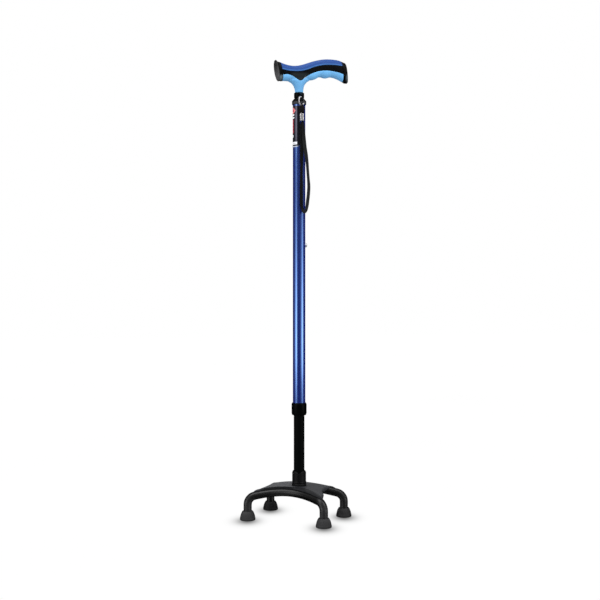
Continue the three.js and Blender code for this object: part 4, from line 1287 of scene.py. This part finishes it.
def build_strap_collar():
    body = lathe("body", fillet([
        (STEM_BORE, 745.6, 0), (8.3, 745.6), (8.9, 746.6), (9.05, 748.6), (9.05, 754.4),
        (8.5, 755.0), (STEM_BORE, 755.0, 0), (STEM_BORE, 745.6, 0)], 0.4), 96)
    outward = np.array([EYE[0], EYE[1], 0.0])
    outward /= np.linalg.norm(outward)
    start = np.array([0, 0, 752.4]) + outward * 7.4
    end = EYE + UP * 2.5
    middle = (start + end) / 2 + UP * 1.2 + outward * 0.8
    path = smooth_path([start, middle, end, end - UP * 0.6], 40)
    arm = mesh_object("arm", *sweep(path, np.cross(outward, UP), ellipse(1.15, 1.9, 20)))
    eye = mesh_object("eye", *torus(2.15, 0.85, EYE, PIN, 48, 20))
    collar = merged("strap_collar_visual", [body, arm, eye])
    remesh(collar, 0.22, smooth=4)
    put(collar, "upper_shaft", STRAP_COLLAR_PLASTIC, "strap_collar")


def build_ring(steps=240, section_points=18):
    """split ring: a flattened wire wound twice round"""
    s = np.arange(steps + 1) / steps
    a = 4 * math.pi * s + math.radians(200)
    shift = 0.50 * np.tanh((s - 0.5) * 22)
    path = (RING_CENTRE + RING_R * (np.outer(np.cos(a), RING_PIN) + np.outer(np.sin(a), UP))
            + np.outer(shift, RING_FACE))
    section = ellipse(1.02, 0.49, section_points)
    ring = mesh_object("strap_ring_visual", *sweep(path, RING_FACE, section), sharp=60)
    # painted reflection: the +X side of the ring is painted dark for the dark collar it mirrors,
    # but for its lowest part
    tone = rise(np.cos(a), -0.05, 0.3) * rise(np.sin(a), -0.52, 0.2)
    attribute(ring, "tone", np.repeat(tone, section_points))
    put(ring, "strap_ring", RING_PLATE, "strap_ring")


def strap_ring_at(z, section):
    """a section (along, out) laid level at height z under the ring"""
    centre = np.array([HANG[0], HANG[1], z])
    return [centre + ALONG * x + OUT * y for x, y in section]


# leather tab: z, half width, half thickness
TAB = [
    (715.6, 3.7, 2.3), (715.9, 4.3, 2.9), (717.0, 4.8, 3.3), (720.5, 5.0, 3.45),
    (724.0, 5.15, 3.4), (726.6, 4.8, 3.1), (728.0, 4.0, 2.8), (729.0, 3.0, 2.3),
    (729.5, 1.9, 1.6)]


def build_tab():
    tab = loft("tab", [strap_ring_at(z, superellipse(a, b, 0.75, 40)) for z, a, b in TAB])
    verts, faces = torus(2.35, 0.8, HANG, PIN, 56, 20)
    verts = np.array(verts)
    # widened along the pin: the fold over the ring is as wide as the leather
    verts = verts + PIN * ((verts - HANG) @ PIN)[:, None] * 1.6
    tab = merged("strap_tab_visual", [tab, mesh_object("loop", verts, faces)])
    remesh(tab, 0.2, smooth=4)
    put(tab, "strap", LEATHER, "strap_tab")


# ferrule with two pressed grooves: z, scale of the section
CRIMP = [
    (702.9, 0.88), (703.2, 0.96), (703.8, 1.0), (705.4, 1.0), (705.9, 0.955),
    (706.5, 0.955), (707.0, 1.0), (711.4, 1.0), (711.9, 0.955), (712.5, 0.955),
    (713.0, 1.0), (714.6, 1.0), (715.2, 0.96), (715.5, 0.88)]


def build_crimp():
    rings = []
    for z, scale in CRIMP:
        # it widens upwards, and its middle moves back under the ring
        taper = 0.35 * (z - 703) / 12.5
        section = superellipse((3.55 + taper) * scale, 3.2 * scale, 0.8, 64)
        rings.append(strap_ring_at(z, [(x + 1.0 - taper, y) for x, y in section]))
    crimp = loft("strap_crimp_visual", rings, sharp=50)
    put(crimp, "strap", CHROME, "strap_crimp")


# wrist loop, down its right run and up its left: along, z
WRIST = [
    (1.6, 701.6), (2.5, 697.5), (3.0, 690), (3.7, 680), (4.7, 668), (6.1, 655), (8.1, 642),
    (9.9, 628), (11.1, 612), (12.1, 599), (12.8, 588), (12.2, 575), (10.9, 563), (9.7, 553),
    (8.0, 545.6), (5.4, 542.2), (2.7, 544.3), (0.8, 550), (0.0, 558), (-0.2, 570),
    (-0.1, 590), (0.0, 610), (0.2, 630), (0.4, 645), (0.3, 660), (0.0, 675), (-0.1, 688),
    (0.4, 697.5)]
# z, half width of the cord
WRIST_WIDTH = [
    (540, 2.4), (549, 2.6), (560, 2.9), (575, 2.9), (590, 2.75), (602, 2.45), (618, 2.45),
    (632, 2.8), (645, 3.2), (660, 3.2), (680, 3.0), (692, 2.8), (698, 2.2), (703, 1.6)]


def build_wrist_loop(steps=420, section_points=28):
    points = [np.array([HANG[0], HANG[1], z]) + ALONG * s for s, z in WRIST]
    path = smooth_path(points, steps, closed=True)
    along, z = (path - HANG) @ ALONG, path[:, 2]
    sections = [superellipse(float(pchip(WRIST_WIDTH, height)), 1.15, 0.7, section_points)
                for height in z]
    # where the two runs lie over one another the right one is in front
    offset = 1.1 * np.tanh((along - 1.6) / 1.0) * (rise(z, 560, 40) * fall(z, 702, 12))
    path = path + np.outer(offset, OUT)
    step = np.linalg.norm(np.roll(path, -1, axis=0) - path, axis=1)
    run = np.concatenate([[0], np.cumsum(step)[:-1]])
    uv = [(run[i] / 2.4, k / section_points)
          for i in range(steps) for k in range(section_points)]
    wrist = mesh_object("wrist_loop_visual", *sweep(path, OUT, sections, closed=True),
                        sharp=None, uv=uv)
    # the run that lies against the tube is in shade, and so is the part under the crimp
    tone = np.maximum(fall(along, 3.2, 1.8) * rise(z, 541, 10), 0.8 * rise(z, 662, 24))
    attribute(wrist, "tone", np.repeat(tone, section_points))
    put(wrist, "strap", BRAID, "wrist_loop")


build_strap_collar()
build_ring()
build_tab()
build_crimp()
build_wrist_loop()

# ============================================================ handle
# side outline: x, z of the top and of the bottom
TOP = [
    (-38, 808.0), (-34, 806.2), (-30.8, 805.1), (-27, 804.1), (-23.4, 803.2),
    (-19.7, 802.6), (-12.3, 802.0), (-4.9, 802.7), (2.6, 804.4), (10.1, 806.8),
    (17.6, 809.6), (25.1, 812.3), (32.7, 814.5), (40.2, 816.3), (47.8, 817.5),
    (55.4, 818.0), (63, 818.0), (70.7, 817.4), (78.3, 815.8), (84, 813.8), (87, 811.6)]
BOTTOM = [
    (-38, 774.3), (-34, 774.0), (-30.8, 774.7), (-27, 775.2), (-19.7, 775.2), (-10, 775.6),
    (0, 776.6), (10, 778.0), (17.6, 778.7), (21.4, 779.3), (25.1, 779.9), (28.9, 781.2),
    (32.7, 783.2), (36.5, 785.4), (40.2, 785.9), (44, 785.0), (47.8, 784.3), (51.6, 784.8),
    (55.4, 786.0), (59.2, 786.8), (63, 786.4), (66.9, 785.7), (70.7, 784.4), (74.5, 782.9),
    (78.3, 781.2), (82.2, 779.2), (86, 776.9), (87, 776.6)]
# x, half width
HALF_WIDTH = [
    (-38, 11.8), (-34, 12.0), (-26, 12.2), (-10, 12.8), (10, 13.2), (40, 13.4), (65, 13.2),
    (78, 12.4), (84, 11.6), (87, 10.6)]
# x, z of the joints above and below the dark core
BAND_TOP = [
    (-38, 793.2), (-34, 793.0), (-25.8, 791.7), (-13.8, 790.9), (-0.6, 791.9),
    (10.2, 794.6), (17, 797.2), (22.3, 799.6), (34.4, 803.4), (46.6, 805.6), (65, 806.3),
    (78.5, 805.6), (86, 805.0)]
BAND_LOW = [
    (-38, 783.0), (-34, 783.6), (-25.8, 785.1), (-16.2, 783.0), (-7.9, 779.2),
    (-3.1, 776.3), (-0.7, 775.7), (1.7, 776.3), (6.6, 780.2), (16.2, 786.9), (28.3, 792.2),
    (40.5, 795.3), (52.7, 796.0), (65, 794.9), (78.5, 791.9), (86, 789.8)]
# end sections: x, z, half height, half width, tilt in degrees, squareness
NOSE = [
    (-43.6, 792.1, 0.4, 0.3, 9.3, 2), (-43.55, 792.1, 4.0, 2.8, 9.3, 2),
    (-43.4, 792.1, 9.0, 6.2, 9.3, 2), (-43.1, 792.2, 13.7, 9.3, 9.3, 2.02),
    (-42.7, 792.3, 16.6, 11.3, 9.3, 2.05), (-42.2, 792.4, 18.1, 12.25, 9.3, 2.08),
    (-41.6, 792.4, 18.8, 12.7, 9.3, 2.08), (-40.9, 792.3, 18.9, 12.8, 9.2, 2.08),
    (-40.1, 792.1, 18.5, 12.65, 8.9, 2.06), (-39.1, 791.6, 17.5, 12.2, 8.5, 2.06),
    (-38.0, 791.3, 16.9, 11.9, 8.1, 2.08)]
TAIL = [
    (84.4, 796.1, 18.5, 11.3, 7, 2.35), (85.8, 795.7, 18.5, 10.9, 6.8, 2.5),
    (86.9, 795.3, 18.4, 10.3, 6.7, 2.6), (87.9, 794.9, 17.9, 9.5, 6.6, 2.7),
    (88.7, 794.6, 16.9, 8.3, 6.6, 2.6), (89.3, 794.1, 14.6, 6.6, 6.6, 2.4),
    (89.6, 793.7, 9.0, 4.2, 6.6, 2.1), (89.7, 793.6, 4.5, 2.0, 6.6, 2),
    (89.72, 793.6, 0.5, 0.3, 6.6, 2)]
# z, least x, greatest x, half width
NECK = [
    (755.35, -7.0, 6.8, 6.9), (755.7, -7.3, 7.1, 7.2), (759, -7.5, 7.2, 7.3),
    (763.7, -8.5, 7.8, 7.7), (767, -10.0, 8.6, 8.2), (770.4, -12.3, 10.2, 8.9),
    (773.3, -16.0, 12.6, 9.7), (775.4, -20.5, 14.6, 10.2), (778.2, -22.5, 18.6, 10.6),
    (781.5, -20.0, 21.0, 10.2), (786, -14.0, 14.0, 8.0)]
RING_POINTS = 88
BODY_SQUARENESS = 2.25
# joints to the end caps: their x at the middle height, and how much they lean per mm down
JOINT_FRONT, JOINT_REAR, JOINT_MID_Z, JOINT_LEAN = -34.3, 79.3, 794.0, 0.14
JOINT_GAP = 0.15


def end_ring(x, z, half_height, half_width, tilt, squareness):
    tilt = math.radians(tilt)
    section = superellipse(half_width, half_height, 2 / squareness, RING_POINTS)
    return [(x - math.sin(tilt) * up, y, z + math.cos(tilt) * up) for y, up in section]


def body_ring(x_mid, tilt):
    """a tilted section that meets the outline tables; a few rounds settle its heights"""
    z_mid = float(pchip(TOP, x_mid) + pchip(BOTTOM, x_mid)) / 2
    slope = math.tan(tilt)
    ring = []
    for side, up in superellipse(1.0, 1.0, 2 / BODY_SQUARENESS, RING_POINTS):
        z = z_mid
        for _ in range(4):
            x = x_mid - slope * (z - z_mid)
            top, bottom = float(pchip(TOP, x)), float(pchip(BOTTOM, x))
            z = (top + bottom) / 2 + (top - bottom) / 2 * up
        ring.append((x, float(pchip(HALF_WIDTH, x)) * side, z))
    return ring


def build_beam():
    rings = [end_ring(*row) for row in NOSE]
    for x in np.linspace(-36.6, 83.4, 110):
        tilt = 8.0 * (fall(x, -18, 14.0) + rise(x, 68, 11.0))
        rings.append(body_ring(float(x), math.radians(tilt)))
    return loft("beam", rings + [end_ring(*row) for row in TAIL])


def build_neck():
    zs = np.concatenate([[755.35, 755.5, 755.7], np.linspace(756.5, 786, 50)])
    low, high, width = [pchip([(row[0], row[c]) for row in NECK], zs) for c in (1, 2, 3)]
    rings = [[((a + b) / 2 + x, y, z) for x, y in ellipse((b - a) / 2, w, 72)]
             for z, a, b, w in zip(zs, low, high, width)]
    return loft("neck", rings)


whole = merged("whole", [build_beam(), build_neck()])
remesh(whole, HANDLE_VOXEL, smooth=6)


def xz_prism(name, outline, half_depth):
    return prism(name, *[[(x, y, z) for x, z in outline] for y in (-half_depth, half_depth)])


def between(low=None, high=None):
    """cutter across Y between two curves, each a table and an offset"""
    xs = np.linspace(-60, 110, 171)
    floor_z = pchip(low[0], xs) + low[1] if low else np.full(xs.shape, 700.0)
    roof_z = pchip(high[0], xs) + high[1] if high else np.full(xs.shape, 900.0)
    return xz_prism("band", list(zip(xs, floor_z)) + list(zip(xs[::-1], roof_z[::-1])), 30)


def slice_of(x0, x1):
    """cutter between two leaning planes"""
    corners = [(x0, 700), (x1, 700), (x1, 900), (x0, 900)]
    return xz_prism("slice", [(x + (JOINT_MID_Z - z) * JOINT_LEAN, z) for x, z in corners], 32)


def middle_slice():
    return slice_of(JOINT_FRONT + JOINT_GAP, JOINT_REAR - JOINT_GAP)


def vertex_values(source, key):
    values = np.zeros(len(source) * 3)
    source.foreach_get(key, values)
    return values


def cane_points(ob):
    """the mesh's points, in millimetres from the shaft's axis"""
    return vertex_values(ob.data.vertices, "co").reshape(-1, 3) * 1000 - AXIS


def piece(name, cutters, smooth, factor=0.5):
    """part of the whole handle, inside all the cutters"""
    ob = whole.copy()
    ob.data = whole.data.copy()
    ob.name = name
    bpy.context.scene.collection.objects.link(ob)
    for cutter in cutters:
        boolean(ob, cutter, "INTERSECT")
    remesh(ob, PIECE_VOXEL, smooth, factor)
    return ob


def inflate(ob, amount):
    """moves every point along its normal"""
    mesh = ob.data
    co = vertex_values(mesh.vertices, "co")
    normals = vertex_values(mesh.vertex_normals, "vector")
    mesh.vertices.foreach_set("co", co + normals * amount * MM)
    mesh.update()


def shine(ob, x, z, radius, amount):
    """marks a soft highlight on the camera's side"""
    p = cane_points(ob)
    distance = np.hypot(p[:, 0] - x, (p[:, 2] - z) * 0.7)
    attribute(ob, "shine", amount * fall(distance, radius, 0.6 * radius) * (p[:, 1] < 0))


def build_pad():
    pad = piece("palm_pad_visual", [between(low=(BAND_TOP, 0.45)), middle_slice()],
                smooth=3, factor=0.6)
    inflate(pad, 0.35)
    p = cane_points(pad)
    # painted highlight: a paler rim along the pad's lower edge, next to the band
    attribute(pad, "rim", fall(p[:, 2] - pchip(BAND_TOP, p[:, 0]), 3.0, 1.8))
    put(pad, "upper_shaft", PAD_BLUE, "palm_pad")


def build_core():
    core = piece("handle_core_visual",
                 [between(low=(BAND_LOW, 0.10), high=(BAND_TOP, -0.10)), middle_slice()],
                 smooth=2)
    inflate(core, -0.25)
    p = cane_points(core)
    # the paler patch low on the core, near the shaft's axis
    attribute(core, "tri", fall(p[:, 2], 790.5, 5.0) * fall(np.abs(p[:, 0] + 1), 20, 8.0))
    put(core, "upper_shaft", CORE_PLASTIC, "handle_core")


def build_grip():
    grip = piece("grip_shell_visual", [between(high=(BAND_LOW, -0.40)), middle_slice()],
                 smooth=3, factor=0.6)
    inflate(grip, 0.15)
    put(grip, "upper_shaft", GRIP_BLUE, "grip_shell")


def build_front_cap():
    cap = piece("front_end_cap_visual", [slice_of(-70, JOINT_FRONT - JOINT_GAP)], smooth=2)
    shine(cap, x=-36.0, z=778.8, radius=4.2, amount=0.75)
    put(cap, "upper_shaft", CAP_PLASTIC, "front_end_cap")
    # the nose's domed face is a paler moulding than its waist
    cap.data.materials.append(CAP_FACE_PLASTIC)
    tilt = math.radians(10.5)
    normal = np.array([-math.cos(tilt), 0, -math.sin(tilt)])
    centre = (np.array([-40.9, 0, 792.2]) + AXIS) * MM
    for polygon in cap.data.polygons:
        if (np.array(polygon.center) - centre) @ normal > 0:
            polygon.material_index = 1


def build_rear_cap():
    cap = piece("rear_end_cap_visual", [slice_of(JOINT_REAR + JOINT_GAP, 130)], smooth=2)
    shine(cap, x=89.6, z=786.0, radius=6.0, amount=0.55)
    put(cap, "upper_shaft", CAP_PLASTIC, "rear_end_cap")


build_pad()
build_core()
build_grip()
build_front_cap()
build_rear_cap()
drop(whole)


# ============================================================ floor
def floor_material():
    """even white, with a soft contact shadow under each foot"""
    # metres: how far a shadow is moved towards the camera, its half width and half length
    shift, half_width, half_length = 0.008, 0.0203, 0.031
    darkness = 0.85
    g = material_graph("floor_white")
    x, y, _ = g.split(g.point)
    light = 1.0
    for signs in FEET.values():
        foot = (foot_place(*signs) + AXIS) * MM
        dx = g.sub(x, foot[0] - VIEW_X * shift)
        dy = g.sub(y, foot[1] - VIEW_Y * shift)
        across = g.math("DIVIDE", g.add(g.mul(dx, VIEW_Y), g.mul(dy, -VIEW_X)), half_width)
        along = g.math("DIVIDE", g.add(g.mul(dx, VIEW_X), g.mul(dy, VIEW_Y)), half_length)
        square = g.add(g.mul(across, across), g.mul(along, along))
        shadow = g.mul(g.math("EXPONENT", g.mul(square, -1.0)), darkness)
        light = g.mul(g.sub(1.0, shadow), light)
    clouds = g.ramp(g.noise(2.0, 2.0, 0.5), MID, (1.0, 1.01))
    emission = g.node("ShaderNodeEmission")
    g.feed(emission.inputs["Strength"], g.mul(clouds, light))
    g.feed(g.output.inputs[0], emission.outputs[0])
    return g.owner


bpy.ops.mesh.primitive_plane_add(size=14, location=(0, 0, 0))
floor = bpy.context.object
floor.name = "floor"
floor.visible_glossy = False
floor.visible_diffuse = False
floor.data.materials.append(floor_material())

# ============================================================ world
# Angles in degrees: elevation, and azimuth from the camera's side, + to its right.
# Each table: angle, brightness.
BOX_LOW = [
    (-8, 0.10), (-6.4, 0.14), (-5.4, 0.27), (-4.9, 0.42), (-4.2, 0.85), (-3.7, 1.0),
    (-2.2, 0.99), (-0.5, 0.76), (1.7, 0.46), (4.0, 0.26), (5.6, 0.165), (7.6, 0.075)]
BOX_TOP = [(16, 0.16), (30, 0.24), (45, 0.7), (60, 1.0), (72, 0.8), (90, 0.3)]
LEFT_HEIGHTS = BOX_LOW + [(8.1, 0.12), (8.6, 0.72), (10.2, 0.72), (10.9, 0.16)] + BOX_TOP
RIGHT_HEIGHTS = BOX_LOW + [(8.3, 0.06), (10.6, 0.05), (12, 0.14)] + BOX_TOP
LEFT_BOX = [
    (-106, 0.0), (-96, 0.05), (-82, 0.14), (-74, 0.30), (-64, 0.70), (-56, 1.0), (-46, 1.0),
    (-40, 0.50), (-33, 0.12), (-24, 0.0)]
RIGHT_BOX = [
    (18, 0.0), (28, 0.04), (36, 0.22), (46, 0.38), (55, 0.75), (62, 1.0), (73, 1.0),
    (78, 0.42), (86, 0.08), (98, 0.02), (108, 0.0)]
OVERHEAD = [
    (-90, 0.02), (-8, 0.02), (0, 0.07), (30, 0.12), (58, 0.35), (72, 0.9), (82, 2.0),
    (90, 2.2)]
DIFFUSE = [(-90, 0.60), (-20, 0.68), (0, 1.55), (30, 2.3), (90, 3.2)]
BOX_STRENGTH = 3.2


def curve(g, value, table):
    """brightness read from a table by a colour ramp"""
    node = g.node("ShaderNodeValToRGB")
    lo, hi = table[0][0], table[-1][0]
    elements = node.color_ramp.elements
    while len(elements) > 1:
        elements.remove(elements[-1])
    top = max(y for _, y in table)
    for k, (x, y) in enumerate(table):
        position = (x - lo) / (hi - lo)
        element = elements[0] if k == 0 else elements.new(position)
        element.position = position
        element.color = (y / top, y / top, y / top, 1)
    g.feed(node.inputs[0], g.ramp(value, (lo, hi)))
    return g.mul(node.outputs[0], top)


def reflected_light(g, rightward, azimuth, elevation):
    """two tall soft boxes, a broad light above and a faint one behind"""
    boxes = [g.mul(curve(g, azimuth, box), curve(g, elevation, heights))
             for box, heights in ((LEFT_BOX, LEFT_HEIGHTS), (RIGHT_BOX, RIGHT_HEIGHTS))]
    # the light above is weaker on the camera's right
    cut = g.mul(g.mul(g.ramp(rightward, (0.06, 0.26)), 0.85), g.ramp(elevation, (40, 55)))
    above = g.mul(curve(g, elevation, OVERHEAD), g.sub(1.0, cut))
    # below the top it only reaches round the camera's side
    reach = g.math("MAXIMUM", g.ramp(g.size(azimuth), (82, 108), (1.0, 0.10)),
                   g.ramp(elevation, (50, 70)))
    behind = g.mul(g.ramp(g.size(azimuth), (158, 168)),
                   g.ramp(elevation, (-40, -10), (0.0, 0.30)))
    lights = g.add(g.mul(g.add(*boxes), BOX_STRENGTH), behind)
    return g.add(lights, g.mul(reach, above))


def build_world():
    world = bpy.data.worlds.new("studio")
    bpy.context.scene.world = world
    g = Graph(world, "ShaderNodeOutputWorld", "Generated")
    background = g.node("ShaderNodeBackground")
    g.feed(g.output.inputs[0], background.outputs[0])
    x, y, z = g.split(g.point)
    turn = math.radians(CAMERA_TURN)
    toward = g.add(g.mul(x, math.sin(turn)), g.mul(y, -math.cos(turn)))
    rightward = g.add(g.mul(x, math.cos(turn)), g.mul(y, math.sin(turn)))
    azimuth = g.mul(g.math("ARCTAN2", rightward, toward), 180 / math.pi)
    elevation = g.mul(g.math("ARCSINE", z), 180 / math.pi)
    ray = g.node("ShaderNodeLightPath").outputs

    def choose(flag, a, b):
        """a where flag is 1, otherwise b"""
        return g.add(g.mul(flag, a), g.mul(g.sub(1.0, flag), b))

    value = choose(ray["Is Glossy Ray"], reflected_light(g, rightward, azimuth, elevation),
                   curve(g, elevation, DIFFUSE))
    value = choose(ray["Is Camera Ray"], 1.0, value)
    g.feed(background.inputs["Strength"], value)
    background.inputs["Color"].default_value = (1, 1, 1, 1)


build_world()

# ============================================================ camera and view
lens = bpy.data.cameras.new("camera")
camera = link_object("camera", lens)
camera.location = (-0.5485 + AXIS_X * MM, -1.7396 + AXIS_Y * MM, 0.403)
camera.rotation_euler = (math.radians(90), 0, math.radians(CAMERA_TURN))
lens.sensor_width = 36.0
lens.lens = 61.63
lens.shift_x = 0.0015
lens.shift_y = -0.01437
lens.clip_start = 0.05

scene = bpy.context.scene
scene.camera = camera
scene.view_settings.view_transform = "Standard"
scene.view_settings.look = "None"
scene.view_settings.exposure = 0.0
scene.view_settings.gamma = 1.0
